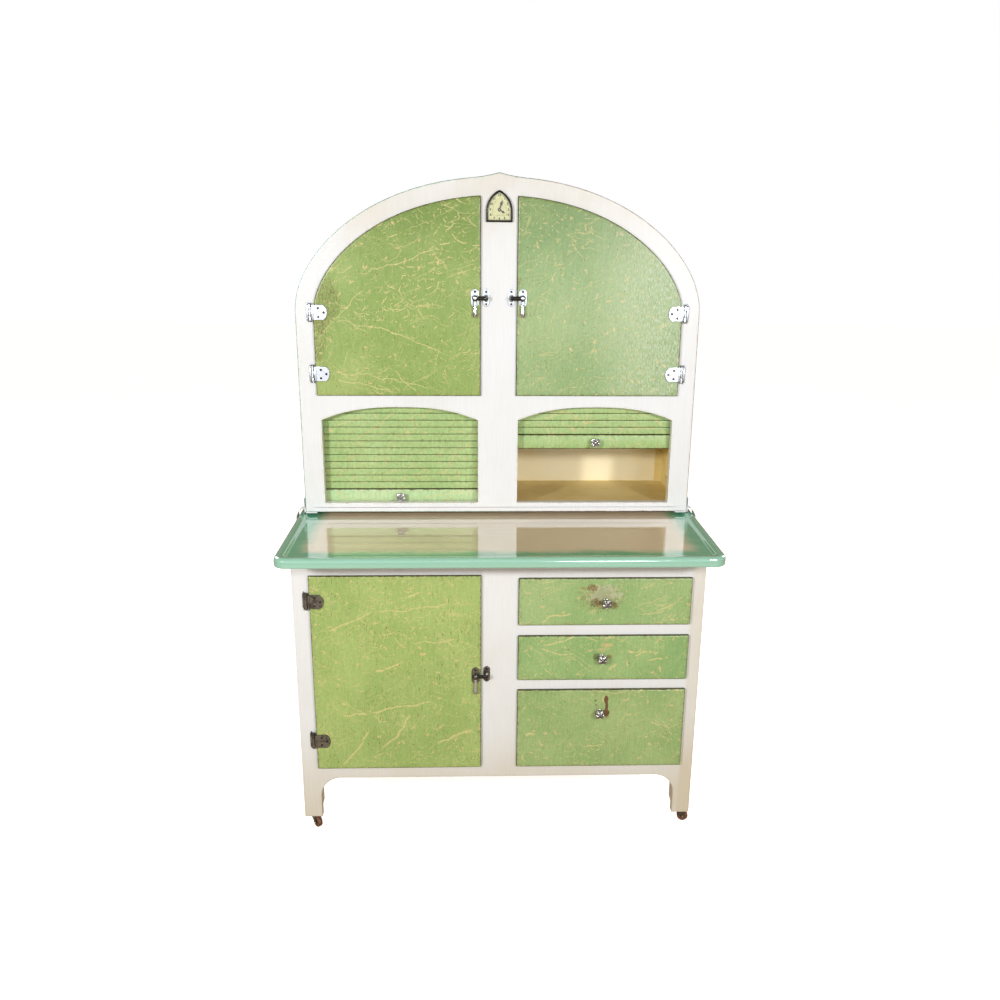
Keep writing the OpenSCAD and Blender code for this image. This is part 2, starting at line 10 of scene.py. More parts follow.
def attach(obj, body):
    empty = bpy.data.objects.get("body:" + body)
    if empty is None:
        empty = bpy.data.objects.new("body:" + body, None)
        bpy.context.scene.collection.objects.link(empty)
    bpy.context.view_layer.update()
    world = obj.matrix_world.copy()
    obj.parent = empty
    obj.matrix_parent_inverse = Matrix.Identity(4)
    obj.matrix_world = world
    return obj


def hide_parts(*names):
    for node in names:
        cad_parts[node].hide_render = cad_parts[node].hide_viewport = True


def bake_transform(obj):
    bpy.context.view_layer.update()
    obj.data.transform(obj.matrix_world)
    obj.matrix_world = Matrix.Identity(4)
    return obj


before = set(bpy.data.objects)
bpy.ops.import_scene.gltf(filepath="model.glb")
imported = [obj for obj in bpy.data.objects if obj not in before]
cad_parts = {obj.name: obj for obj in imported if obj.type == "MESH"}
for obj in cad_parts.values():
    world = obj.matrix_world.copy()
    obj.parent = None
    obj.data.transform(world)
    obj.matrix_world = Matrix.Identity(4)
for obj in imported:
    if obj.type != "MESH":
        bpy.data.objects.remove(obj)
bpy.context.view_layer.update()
scene = bpy.context.scene
MM = 0.001


# ---------- camera, light and floor ----------

CAMERA_PLACE = (-0.070, -2.287, 1.513)
CAMERA_PITCH, CAMERA_YAW, CAMERA_ROLL = 0.2836, 0.033, 0.0075   # radians; pitch is downwards
SENSOR_MM, LENS_MM = 36, 32.84


def make_camera():
    pitch, yaw, roll = CAMERA_PITCH, CAMERA_YAW, CAMERA_ROLL
    forward = Vector((math.sin(yaw) * math.cos(pitch), math.cos(yaw) * math.cos(pitch), -math.sin(pitch)))
    right = Vector((math.cos(yaw), -math.sin(yaw), 0))
    up = right.cross(forward)
    x_axis = math.cos(roll) * right + math.sin(roll) * up
    y_axis = -math.sin(roll) * right + math.cos(roll) * up
    data = bpy.data.cameras.new("camera")
    data.sensor_width = SENSOR_MM
    data.lens = LENS_MM
    cam = bpy.data.objects.new("camera", data)
    axes = Matrix((x_axis, y_axis, -forward)).transposed()
    cam.matrix_world = Matrix.Translation(CAMERA_PLACE) @ axes.to_4x4()
    scene.collection.objects.link(cam)
    scene.camera = cam


def soft_light(name, place, target, size, watts, colour):
    data = bpy.data.lights.new(name, "AREA")
    data.shape = "DISK"
    data.size = size
    data.energy = watts
    data.color = colour
    lamp = bpy.data.objects.new(name, data)
    lamp.location = place
    lamp.rotation_mode = "QUATERNION"
    lamp.rotation_quaternion = (Vector(target) - Vector(place)).to_track_quat("-Z", "Y")
    lamp.visible_camera = False
    scene.collection.objects.link(lamp)


def make_world():
    """A warm grey room with one bright, soft patch in front of the object. The camera sees plain white."""
    world = bpy.data.worlds.new("studio")
    world.use_nodes = True
    nodes, links = world.node_tree.nodes, world.node_tree.links
    background = nodes["Background"]
    axes = nodes.new("ShaderNodeSeparateXYZ")
    links.new(nodes.new("ShaderNodeTexCoord").outputs["Generated"], axes.inputs[0])
    front = nodes.new("ShaderNodeMapRange")
    front.interpolation_type = "SMOOTHSTEP"
    front.inputs["From Min"].default_value = -0.70
    front.inputs["From Max"].default_value = -0.97
    links.new(axes.outputs["Y"], front.inputs["Value"])
    tint = nodes.new("ShaderNodeMix")
    tint.data_type = "RGBA"
    tint.inputs[6].default_value = (0.25, 0.21, 0.15, 1)
    tint.inputs[7].default_value = (0.66, 0.69, 0.72, 1)
    links.new(front.outputs["Result"], tint.inputs[0])
    seen = nodes.new("ShaderNodeMix")
    seen.data_type = "RGBA"
    seen.inputs[7].default_value = (1, 1, 1, 1)
    links.new(nodes.new("ShaderNodeLightPath").outputs["Is Camera Ray"], seen.inputs[0])
    links.new(tint.outputs[2], seen.inputs[6])
    links.new(seen.outputs[2], background.inputs["Color"])
    scene.world = world


make_camera()
make_world()
scene.view_settings.view_transform = "Standard"
MIDDLE = (0, 0, 0.9)
for light in (
    ("left_light", (-1.78, -2.35, 1.76), MIDDLE, 0.28, 54, (0.985, 0.995, 1.02)),
    ("right_light", (1.42, -2.30, 1.76), MIDDLE, 0.28, 33, (0.99, 0.99, 1.01)),
    ("sheen_light", (1.06, -4.45, 1.18), (0.35, 0, 1.3), 0.9, 22, (0.90, 0.96, 1.0)),
    ("left_back_light", (-2.6, 2.4, 2.6), MIDDLE, 1.6, 55, (1.0, 0.99, 0.97)),
    ("right_back_light", (2.8, 1.6, 2.2), MIDDLE, 1.6, 40, (1.0, 0.99, 0.97)),
):
    soft_light(*light)


# ---------- node graphs ----------

class Graph:
    """Short names for the shader nodes of one material. Sizes are in millimetres."""

    def __init__(self, name):
        self.material = bpy.data.materials.new(name)
        self.material.use_nodes = True
        self.tree = self.material.node_tree
        self.tree.nodes.clear()
        output = self.tree.nodes.new("ShaderNodeOutputMaterial")
        self.shader = self.tree.nodes.new("ShaderNodeBsdfPrincipled")
        self.tree.links.new(self.shader.outputs["BSDF"], output.inputs["Surface"])
        self.place = self.tree.nodes.new("ShaderNodeTexCoord").outputs["Object"]

    def put(self, socket, value):
        if isinstance(value, bpy.types.NodeSocket):
            self.tree.links.new(value, socket)
        elif value is not None:
            if hasattr(socket.default_value, "__len__") and hasattr(value, "__len__"):
                if len(socket.default_value) == 4 and len(value) == 3:
                    value = (*value, 1.0)
            socket.default_value = value

    def node(self, kind, inputs, **settings):
        made = self.tree.nodes.new("ShaderNode" + kind)
        for key, value in settings.items():
            setattr(made, key, value)
        for key, value in inputs.items():
            self.put(made.inputs[key], value)
        return made

    def math(self, operation, a, b=0.0, clamp=False):
        return self.node("Math", {0: a, 1: b}, operation=operation, use_clamp=clamp).outputs[0]

    def vector(self, operation, a, b):
        return self.node("VectorMath", {0: a, 1: b}, operation=operation).outputs[0]

    def split(self, vector):
        return self.node("SeparateXYZ", {0: vector}).outputs

    def join(self, x, y, z=0.0):
        return self.node("CombineXYZ", {0: x, 1: y, 2: z}).outputs[0]

    def noise(self, vector, sizes, detail, rough, distortion=0.0, seed=0.0):
        """A noise whose features have the three given sizes."""
        vector = self.vector("MULTIPLY", vector, tuple(1000 / size for size in sizes))
        if seed:
            vector = self.vector("ADD", vector, (seed * 7.31, seed * 3.17, seed * 5.73))
        inputs = {"Vector": vector, "Scale": 1.0, "Detail": detail, "Roughness": rough,
                  "Distortion": distortion}
        return self.node("TexNoise", inputs).outputs["Fac"]

    def step(self, value, low, painted_top_shade, out_low=0.0, out_high=1.0):
        """Smoothly from out_low to out_high as value goes from low to high."""
        inputs = {"Value": value, "From Min": low, "From Max": painted_top_shade, "To Min": out_low, "To Max": out_high}
        return self.node("MapRange", inputs, interpolation_type="SMOOTHSTEP").outputs[0]

    def patches(self, vector, sizes, detail, rough, seed, low, painted_top_shade, out_low=0.0, out_high=1.0):
        """Patches of a noise, smoothly from out_low to out_high as the noise goes from low to high."""
        return self.step(self.noise(vector, sizes, detail, rough, 0.0, seed), low, painted_top_shade, out_low, out_high)

    def blend(self, share, a, b):
        made = self.tree.nodes.new("ShaderNodeMix")
        made.data_type = "RGBA"
        self.put(made.inputs[0], share)
        self.put(made.inputs[6], a)
        self.put(made.inputs[7], b)
        return made.outputs[2]

    def layer(self, colour, tint, share, amount):
        """The colour with a tint laid over it."""
        return self.blend(self.both(share, amount), colour, tint)

    def both(self, a, b):
        return self.math("MULTIPLY", a, b)

    def plus(self, a, b, clamp=False):
        return self.math("ADD", a, b, clamp)

    def minus(self, a, b):
        return self.math("SUBTRACT", a, b)

    def over(self, a, b):
        return self.math("DIVIDE", a, b)

    def either(self, a, b):
        return self.math("MAXIMUM", a, b)

    def edge(self):
        return self.node("Attribute", {}, attribute_name="edge").outputs["Fac"]

    def bump(self, height, distance_mm, strength):
        return self.node("Bump", {"Height": height, "Distance": distance_mm * MM,
                                  "Strength": strength}).outputs[0]

    def finish(self, **inputs):
        for key, value in inputs.items():
            self.put(self.shader.inputs[key.replace("_", " ")], value)
        return self.material


def contour(g, flat, sizes, width, seed, gaps):
    """Thin wandering lines where a stretched noise crosses its middle, broken up by a second noise."""
    field = g.noise(flat, sizes, 2.5, 0.5, 0.0, seed)
    off = g.math("ABSOLUTE", g.minus(field, 0.5))
    line = g.step(off, width, width * 0.35)
    broken = g.patches(flat, (90, 45, 60), 2.0, 0.6, seed + 4, gaps, gaps + 0.04)
    return g.both(line, broken)


def dashes(g, flat, cell, length, width, share, turn, seed):
    """Short straight strokes, one to a Voronoi cell, each turned at random. Sizes are in millimetres."""
    moved = g.vector("ADD", flat, (seed * 1.7, seed * 0.9, 0))
    cells = g.node("TexVoronoi", {"Vector": moved, "Scale": 1000 / cell, "Randomness": 1.0},
                   voronoi_dimensions="2D", feature="F1")
    local = g.split(g.vector("SUBTRACT", moved, cells.outputs["Position"]))
    random = g.node("SeparateColor", {"Color": cells.outputs["Color"]}).outputs
    angle = g.both(g.minus(random[0], 0.5), turn)
    c, s = g.math("COSINE", angle), g.math("SINE", angle)
    u = g.plus(g.both(local[0], c), g.both(local[1], s))
    v = g.minus(g.both(local[1], c), g.both(local[0], s))
    bow = g.both(g.both(u, u), g.both(g.minus(random[2], 0.5), 60.0))
    v = g.plus(v, bow)
    size = g.plus(0.55, g.both(random[1], 0.9))
    u = g.over(g.over(u, length / 2 * MM), size)
    v = g.over(v, width / 2 * MM)
    round_ = g.plus(g.both(u, u), g.both(v, v))
    shown = g.math("LESS_THAN", random[2], share)
    return g.both(g.step(round_, 1.25, 0.75), shown)


def turned(g, flat, degrees):
    """The flat coordinates turned in their plane."""
    x, z, _ = g.split(flat)
    c, s = math.cos(math.radians(degrees)), math.sin(math.radians(degrees))
    return g.join(g.plus(g.both(x, c), g.both(z, s)), g.minus(g.both(z, c), g.both(x, s)))


def hairlines(g, flat, degrees, length, width, level, seed):
    """Long fine scratches in one direction, in patches."""
    along = turned(g, flat, degrees)
    lines = g.noise(along, (length, width, 10), 1.0, 0.4, 0.0, seed)
    patch = g.patches(flat, (95, 80, 60), 2.0, 0.6, seed + 1.5, 0.46, 0.60)
    return g.both(g.step(lines, level, level + 0.05), patch)


def stroke(g, flat, x0, z0, x1, z1, width, bow):
    """One drawn line between two points, in millimetres, which may bow to one side."""
    dx, dz = x1 - x0, z1 - z0
    length = math.hypot(dx, dz)
    middle = ((x0 + x1) / 2 * MM, (z0 + z1) / 2 * MM, 0)
    x, z, _ = g.split(turned(g, g.vector("SUBTRACT", flat, middle), math.degrees(math.atan2(dz, dx))))
    u = g.over(x, length / 2 * MM)
    curve = g.both(g.minus(1.0, g.both(u, u)), bow * MM)
    off = g.math("ABSOLUTE", g.minus(z, curve))
    taper = g.step(g.math("ABSOLUTE", u), 1.0, 0.75)
    return g.both(g.step(off, width * 0.75 * MM, width * 0.3 * MM), taper)


def mark(g, flat, x, z, rx, rz, rough_edge):
    """A soft-edged spot, in millimetres, with a ragged outline."""
    x_, z_, _ = g.split(g.vector("SUBTRACT", flat, (x * MM, z * MM, 0)))
    u, v = g.over(x_, rx * MM), g.over(z_, rz * MM)
    ragged = g.noise(flat, (9, 9, 9), 4.0, 0.75, 0.0, x / 50)
    d = g.plus(g.plus(g.both(u, u), g.both(v, v)), g.both(g.minus(ragged, 0.5), rough_edge * 6))
    return g.step(d, 1.25, 0.7)


def green_paint(name, dark, light, share, grainy, seed, strokes=(), marks=(), abrasion=(), painted_sheen=0.0):
    """Green paint over a cream ground, scratched and flecked down to the ground, with cracks in its grain."""
    g = Graph(name)
    x, _, z = g.split(g.place)
    flat = g.join(x, z, 0.0)
    warp = g.noise(flat, (60, 60, 55), 2.0, 0.6, 0.0, seed + 1)
    warped = g.vector("ADD", flat, g.join(0.0, g.both(g.minus(warp, 0.5), 0.035)))
    cloud = g.noise(flat, (150, 190, 200), 4.0, 0.6, 0.0, seed + 2)
    colour = g.blend(g.step(cloud, 0.34, 0.66), dark, light)
    grain = g.noise(flat, (2.2, 38, 10), 3.0, 0.65, 0.0, seed)
    fine = g.noise(flat, (5.0, 7.0, 10), 4.0, 0.75, 0.0, seed + 3)
    shade = g.plus(g.step(grain, 0.25, 0.75, 0.89, 1.08), g.step(fine, 0.25, 0.75, -0.09, 0.09))
    colour = g.vector("MULTIPLY", colour, g.join(shade, shade,
                                                 g.plus(shade, g.step(fine, 0.3, 0.7, -0.06, 0.06))))
    # the upper doors darker towards their tops: painted shade
    painted_top_shade = [g.step(z, 1.38, 1.60, 1.0, low) for low in (0.66, 0.72, 0.54)]
    colour = g.vector("MULTIPLY", colour, g.join(*painted_top_shade))
    region = g.patches(flat, (120, 150, 100), 2.0, 0.55, seed + 7, 0.42, 0.60, 0.25, 1.0)
    cracks = g.noise(flat, (1.9, 17, 10), 2.0, 0.6, 0.0, seed + 9)
    crack = g.both(g.step(cracks, 0.635, 0.69), g.both(region, grainy))
    colour = g.blend(crack, colour, (0.125, 0.100, 0.025))
    tan = g.both(g.step(cracks, 0.33, 0.28), g.both(region, grainy * 0.6))
    colour = g.blend(tan, colour, (0.47, 0.42, 0.165))
    # scratches and flecks down to the ground coat
    busy = g.noise(flat, (140, 110, 100), 2.0, 0.55, 0.0, seed + 5)
    some = g.step(busy, 0.38, 0.60, 0.30, 1.0)
    hair = g.either(hairlines(g, warped, 24, 190, 2.3, 0.665, seed + 31),
                    hairlines(g, warped, -33, 150, 2.3, 0.67, seed + 36))
    hair = g.either(hair, hairlines(g, warped, 68, 120, 2.3, 0.68, seed + 41))
    waves = g.either(contour(g, warped, (280, 66, 50), 0.0058, seed + 10, 0.53),
                     contour(g, turned(g, warped, 28), (230, 52, 50), 0.0055, seed + 20, 0.55))
    dabs = g.either(dashes(g, flat, 22, 15, 2.3, share, 2.4, seed + 0.3),
                    dashes(g, flat, 12, 8, 1.7, share * 0.8, 3.0, seed + 1.1))
    if share > 0.45:
        dabs = g.either(dabs, dashes(g, warped, 42, 30, 3.0, 0.42, 2.0, seed + 7.7))
    dabs = g.both(dabs, some)
    ragged = g.patches(flat, (3.5, 3.5, 3), 3.0, 0.7, seed, 0.36, 0.56, 0.1, 1.0)
    drawn = 0.0
    for item in strokes:
        drawn = g.either(drawn, stroke(g, warped, *item))
    bare = g.either(g.either(g.both(hair, 0.85), g.both(waves, 0.6)), g.either(dabs, drawn))
    bare = g.both(bare, ragged)
    tone = g.blend(g.step(fine, 0.35, 0.65), (0.60, 0.545, 0.235), (0.66, 0.52, 0.22))
    colour = g.layer(colour, tone, bare, 0.95)
    blobs = g.either(dashes(g, warped, 40, 12.0, 5.0, 0.40, 3.0, seed + 2.7),
                     dashes(g, flat, 21, 5.2, 2.8, 0.26, 3.0, seed + 5.9))
    blobs = g.both(blobs, g.patches(flat, (4, 4, 5), 3.0, 0.75, 0, 0.42, 0.54))
    colour = g.layer(colour, (0.72, 0.51, 0.25), blobs, 0.78)
    specks = dashes(g, flat, 21, 2.6, 1.9, 0.14, 3.0, seed + 4.4)
    colour = g.layer(colour, (0.060, 0.045, 0.018), specks, 0.8)
    for bx, bz, rx, rz in abrasion:
        rubbed = g.both(mark(g, flat, bx, bz, rx, rz, 0.25),
                        g.patches(flat, (3, 9, 5), 4.0, 0.8, 5, 0.44, 0.60))
        colour = g.layer(colour, (0.155, 0.100, 0.030), rubbed, 0.72)
    mottle = g.patches(flat, (4, 6, 5), 4.0, 0.8, 3, 0.38, 0.60, 0.25, 1.0)
    for bx, bz, rx, rz, edge_rough, tint, amount in marks:
        spot = g.both(mark(g, flat, bx, bz, rx, rz, edge_rough), mottle if rx > 9 else 1.0)
        colour = g.layer(colour, tint, spot, amount)
    # a whitish, streaky sheen over the right part of the door: a painted highlight of a lamp
    if painted_sheen:
        sheen_streaks = g.patches(flat, (2.6, 11, 10), 3.0, 0.75, seed + 2, 0.44, 0.64)
        colour = g.blend(g.both(g.step(x, 0.20, 0.42, 0.0, painted_sheen), sheen_streaks), colour, (0.66, 0.70, 0.60))
    # dark, dirty edges; the darkest line along the very edge is partly wear and partly painted shade of the
    # gaps round panels and between slats
    edge = g.edge()
    ripple = g.noise(g.place, (9, 9, 9), 3.0, 0.65, 0.0, seed + 8)
    rim = g.step(g.minus(edge, g.both(ripple, 4.0)), 0.9, -0.9)
    dirt = g.both(g.step(edge, 14.0, 1.0), g.step(ripple, 0.42, 0.70))
    colour = g.layer(colour, (0.16, 0.145, 0.045), dirt, 0.5)
    colour = g.layer(colour, (0.050, 0.036, 0.014), rim, 0.92)
    height = g.minus(g.plus(g.both(grain, 0.5), g.both(fine, 0.4)),
                    g.plus(g.both(bare, 0.25), g.both(crack, 0.6)))
    rough = g.plus(g.step(fine, 0.2, 0.8, 0.27, 0.42), g.both(bare, 0.2), clamp=True)
    return g.finish(Base_Color=colour, Roughness=rough, Normal=g.bump(height, 0.30, 0.8),
                    Specular_IOR_Level=0.5)


def cream_paint(name, worn_edges=True):
    """Aged cream enamel paint, brushed on, dirtier at its edges, and yellower and darker near the floor,
    partly dirt and partly painted shade; painted shade also darkens the arch head and the base's right post.
    """
    white, aged_and_shaded = (0.74, 0.747, 0.752), (0.60, 0.53, 0.40)
    g = Graph(name)
    x, _, z = g.split(g.place)
    cloud = g.noise(g.place, (160, 160, 240), 4.0, 0.6)
    # yellower and darker towards the floor, and a little over the whole base: partly dirt, partly painted
    # shade
    low = g.plus(g.step(z, 0.36, 0.03, 0.0, 0.66), g.step(z, 0.80, 0.76, 0.0, 0.10))
    # a darker band on the base's right post below the worktop: painted shade
    low = g.plus(low, g.both(g.step(z, 0.80, 0.76), g.step(x, 0.470, 0.482, 0.0, 0.40)))
    aged_and_shaded_share = g.plus(low, g.step(cloud, 0.42, 0.78, 0.0, 0.20), clamp=True)
    # the arch head darker and greyer, in clouds: painted shade
    head = g.both(g.step(z, 1.38, 1.62), g.step(cloud, 0.3, 0.6, 0.4, 1.0))
    aged_and_shaded_share = g.plus(aged_and_shaded_share, g.both(head, 0.40), clamp=True)
    colour = g.blend(aged_and_shaded_share, white, aged_and_shaded)
    brush = g.noise(g.place, (2.2, 2.2, 95), 3.0, 0.6)
    shade = g.step(brush, 0.2, 0.8, 0.965, 1.03)
    colour = g.vector("MULTIPLY", colour, g.join(shade, shade, shade))
    edge = g.edge()
    ripple = g.noise(g.place, (11, 11, 16), 4.0, 0.7)
    if not worn_edges:
        edge = 40.0
    near = g.both(g.step(edge, 7.0, 0.4), g.step(ripple, 0.42, 0.66))
    colour = g.layer(colour, (0.60, 0.50, 0.32), near, 0.42)
    chip = g.both(g.step(edge, 2.4, 0.8), g.step(ripple, 0.655, 0.69))
    colour = g.layer(colour, (0.20, 0.12, 0.06), chip, 0.9)
    specks = g.patches(g.place, (6, 6, 8), 3.0, 0.75, 3, 0.79, 0.82)
    colour = g.layer(colour, (0.42, 0.33, 0.19), specks, 0.4)
    # the line along the hutch's outer edge: teal on the left, brown on the right
    line = g.blend(g.step(x, -0.10, 0.20), (0.075, 0.30, 0.215), (0.21, 0.155, 0.13))
    colour = g.blend(g.both(g.step(edge, -0.6, -1.6), g.step(ripple, 0.30, 0.50, 0.45, 0.85)), colour, line)
    fine = g.noise(g.place, (3, 3, 5), 3.0, 0.6, 0.0, 5)
    height = g.plus(g.both(brush, 0.6), g.both(fine, 0.4))
    rough = g.step(fine, 0.2, 0.8, 0.30, 0.46)
    return g.finish(Base_Color=colour, Roughness=rough, Normal=g.bump(height, 0.16, 0.6))


def inner_paint(name, main, worn):
    """Buff paint inside, thin enough that the boards' grain shows."""
    g = Graph(name)
    cloud = g.noise(g.place, (120, 120, 120), 3.0, 0.6)
    grain = g.noise(g.place, (90, 14, 5.0), 4.0, 0.65, 0.4)
    share = g.plus(g.step(cloud, 0.4, 0.8, 0.0, 0.5), g.step(grain, 0.5, 0.8, 0.0, 0.3), clamp=True)
    colour = g.blend(share, main, worn)
    specks = g.patches(g.place, (6, 6, 6), 3.0, 0.7, 2, 0.73, 0.77)
    colour = g.layer(colour, (0.22, 0.14, 0.06), specks, 0.5)
    return g.finish(Base_Color=colour, Roughness=g.step(cloud, 0.2, 0.8, 0.42, 0.60),
                    Normal=g.bump(grain, 0.15, 0.6))


def raw_wood(name, along):
    """Plain sawn softwood with rings running along one axis."""
    g = Graph(name)
    sizes = {"X": (420, 22, 22), "Y": (22, 420, 22), "Z": (22, 22, 420)}[along]
    fibres = {"X": (60, 1.6, 1.6), "Y": (1.6, 60, 1.6), "Z": (1.6, 1.6, 60)}[along]
    rings = g.noise(g.place, sizes, 3.0, 0.5, 1.2)
    band = g.math("PINGPONG", g.both(rings, 9.0), 0.5)
    fibre = g.noise(g.place, fibres, 3.0, 0.7)
    share = g.plus(g.both(band, 0.9), g.step(fibre, 0.3, 0.8, -0.1, 0.35), clamp=True)
    colour = g.blend(share, (0.46, 0.30, 0.155), (0.25, 0.145, 0.065))
    stain = g.patches(g.place, (150, 150, 190), 3.0, 0.6, 4, 0.5, 0.78, 0.0, 0.45)
    colour = g.blend(stain, colour, (0.15, 0.095, 0.05))
    return g.finish(Base_Color=colour, Roughness=g.step(fibre, 0.2, 0.8, 0.55, 0.78),
                    Normal=g.bump(fibre, 0.25, 0.7))


def enamel(name):
    """Vitreous enamel on steel: an ivory field that fades into a mint border, almost a mirror."""
    g = Graph(name)
    cloud = g.noise(g.place, (90, 60, 60), 4.0, 0.6)
    mint = g.blend(g.step(cloud, 0.35, 0.7), (0.115, 0.420, 0.245), (0.150, 0.465, 0.290))
    edge = g.edge()
    border = g.plus(edge, g.step(cloud, 0.2, 0.8, -9.0, 9.0))
    # paler mint within about 25 mm of the rim: a painted reflection
    pale = g.step(edge, 25.0, 8.0, 0.0, 0.85)
    mint = g.blend(pale, mint, (0.310, 0.555, 0.430))
    colour = g.blend(g.step(border, 42.0, 88.0), mint, (0.74, 0.62, 0.45))
    spots = g.patches(g.place, (5, 5, 5), 3.0, 0.7, 2, 0.76, 0.79)
    colour = g.layer(colour, (0.05, 0.06, 0.035), spots, 0.5)
    ripple = g.noise(g.place, (8, 8, 8), 3.0, 0.7, 0.0, 3)
    chip = g.both(g.step(edge, 5.0, 2.0), g.step(ripple, 0.70, 0.72))
    colour = g.blend(chip, colour, (0.03, 0.022, 0.018))
    wipe = g.noise(g.place, (160, 28, 40), 5.0, 0.7, 1.5, 6)
    smear = g.both(g.step(wipe, 0.56, 0.66), g.step(border, 70.0, 130.0))
    colour = g.layer(colour, (0.78, 0.74, 0.66), smear, 0.30)
    fine = g.noise(g.place, (34, 34, 34), 2.0, 0.5, 0.0, 7)
    rough = g.plus(g.step(wipe, 0.42, 0.70, 0.045, 0.17), g.both(chip, 0.5), clamp=True)
    height = g.minus(fine, g.both(chip, 0.6))
    return g.finish(Base_Color=colour, Roughness=rough, Normal=g.bump(height, 0.10, 0.35),
                    IOR=1.95, Coat_Weight=1.0, Coat_Roughness=0.05, Coat_IOR=1.6)


def plated(name, bright, dull, tarnish, rough_low, rough_high, seed, dark_reflection=0.6, edges=True):
    """Nickel plate with tarnish in patches, in its pits and along its edges, and a painted dark reflection
    where it turns away from the view.
    """
    g = Graph(name)
    cloud = g.noise(g.place, (14, 14, 14), 4.0, 0.65, 0.3, seed)
    pits = g.noise(g.place, (1.8, 1.8, 1.8), 3.0, 0.7, 0.0, seed + 1)
    # darker where the surface turns away from the view: a painted dark reflection
    away = g.node("LayerWeight", {"Blend": 0.5}).outputs["Facing"]
    tarnish_and_dark_reflection = g.step(away, 0.28, 0.72, 0.0, dark_reflection)
    if edges:
        tarnish_and_dark_reflection = g.either(tarnish_and_dark_reflection, g.step(g.edge(), 1.0, 0.2, 0.0, 0.85))
    share = g.plus(g.step(cloud, tarnish, tarnish + 0.25), g.step(pits, 0.62, 0.8, 0.0, 0.6), clamp=True)
    colour = g.blend(share, bright, dull)
    colour = g.blend(tarnish_and_dark_reflection, colour, (0.035, 0.030, 0.022))
    rough = g.plus(g.step(cloud, 0.3, 0.8, rough_low, rough_high), g.step(pits, 0.5, 0.8, 0.0, 0.15),
                   clamp=True)
    metal = g.step(share, 0.55, 1.0, 1.0, 0.72)
    return g.finish(Base_Color=colour, Metallic=metal, Roughness=rough, Normal=g.bump(pits, 0.05, 0.4))


def black_paint(name):
    g = Graph(name)
    pits = g.noise(g.place, (3, 3, 3), 3.0, 0.6)
    cloud = g.noise(g.place, (12, 12, 12), 3.0, 0.7, 0.0, 2)
    colour = g.blend(g.step(cloud, 0.50, 0.80), (0.008, 0.007, 0.005), (0.040, 0.028, 0.012))
    colour = g.blend(g.step(pits, 0.70, 0.76), colour, (0.18, 0.14, 0.07))
    return g.finish(Base_Color=colour, Specular_IOR_Level=0.25, Roughness=g.step(cloud, 0.2, 0.8, 0.30, 0.50),
                    Normal=g.bump(pits, 0.08, 0.5))


def dial_paint(name):
    g = Graph(name)
    cloud = g.noise(g.place, (18, 18, 18), 4.0, 0.6)
    colour = g.blend(g.step(cloud, 0.35, 0.75), (0.66, 0.645, 0.33), (0.55, 0.54, 0.24))
    spots = g.patches(g.place, (1.4, 1.4, 1.4), 2.0, 0.6, 2, 0.72, 0.78)
    colour = g.layer(colour, (0.24, 0.22, 0.08), spots, 0.5)
    return g.finish(Base_Color=colour, Roughness=g.step(cloud, 0.2, 0.8, 0.5, 0.65),
                    Normal=g.bump(cloud, 0.04, 0.4))


def clear_glass(name):
    g = Graph(name)
    cloud = g.noise(g.place, (20, 20, 20), 3.0, 0.6)
    g.material.surface_render_method = "BLENDED"
    return g.finish(Base_Color=(0.92, 0.95, 0.90), Roughness=g.step(cloud, 0.3, 0.8, 0.02, 0.10),
                    Alpha=0.07, IOR=1.45)


def cloth(name):
    g = Graph(name)
    weave = g.noise(g.place, (1.2, 1.2, 1.2), 2.0, 0.6)
    cloud = g.noise(g.place, (40, 40, 40), 3.0, 0.6)
    colour = g.blend(g.step(cloud, 0.3, 0.7), (0.045, 0.05, 0.022), (0.085, 0.08, 0.04))
    return g.finish(Base_Color=colour, Roughness=g.step(weave, 0.2, 0.8, 0.8, 0.95),
                    Normal=g.bump(weave, 0.2, 0.8))


def wheel_wood(name):
    g = Graph(name)
    grain = g.noise(g.place, (3, 9, 3), 4.0, 0.65, 0.6)
    colour = g.blend(g.step(grain, 0.35, 0.7), (0.21, 0.082, 0.032), (0.085, 0.034, 0.016))
    scuff = g.patches(g.place, (5, 5, 5), 3.0, 0.7, 2, 0.58, 0.70)
    colour = g.layer(colour, (0.42, 0.24, 0.12), scuff, 0.7)
    return g.finish(Base_Color=colour, Roughness=g.step(grain, 0.2, 0.8, 0.35, 0.6),
                    Normal=g.bump(grain, 0.2, 0.6))


def floor_paint(name):
    """A white sweep, lit so that the camera sees hardly any of its own shading."""
    g = Graph(name)
    cloud = g.noise(g.place, (900, 900, 900), 2.0, 0.5)
    seen = g.node("LightPath", {}).outputs["Is Camera Ray"]
    pale = g.blend(g.step(cloud, 0.3, 0.7), (0.80, 0.79, 0.775), (0.83, 0.82, 0.805))
    colour = g.blend(seen, (0.44, 0.36, 0.26), pale)
    return g.finish(Base_Color=colour, Roughness=0.6, Emission_Color=(0.985, 0.995, 1.0),
                    Emission_Strength=g.plus(0.01, g.both(seen, 0.84)))


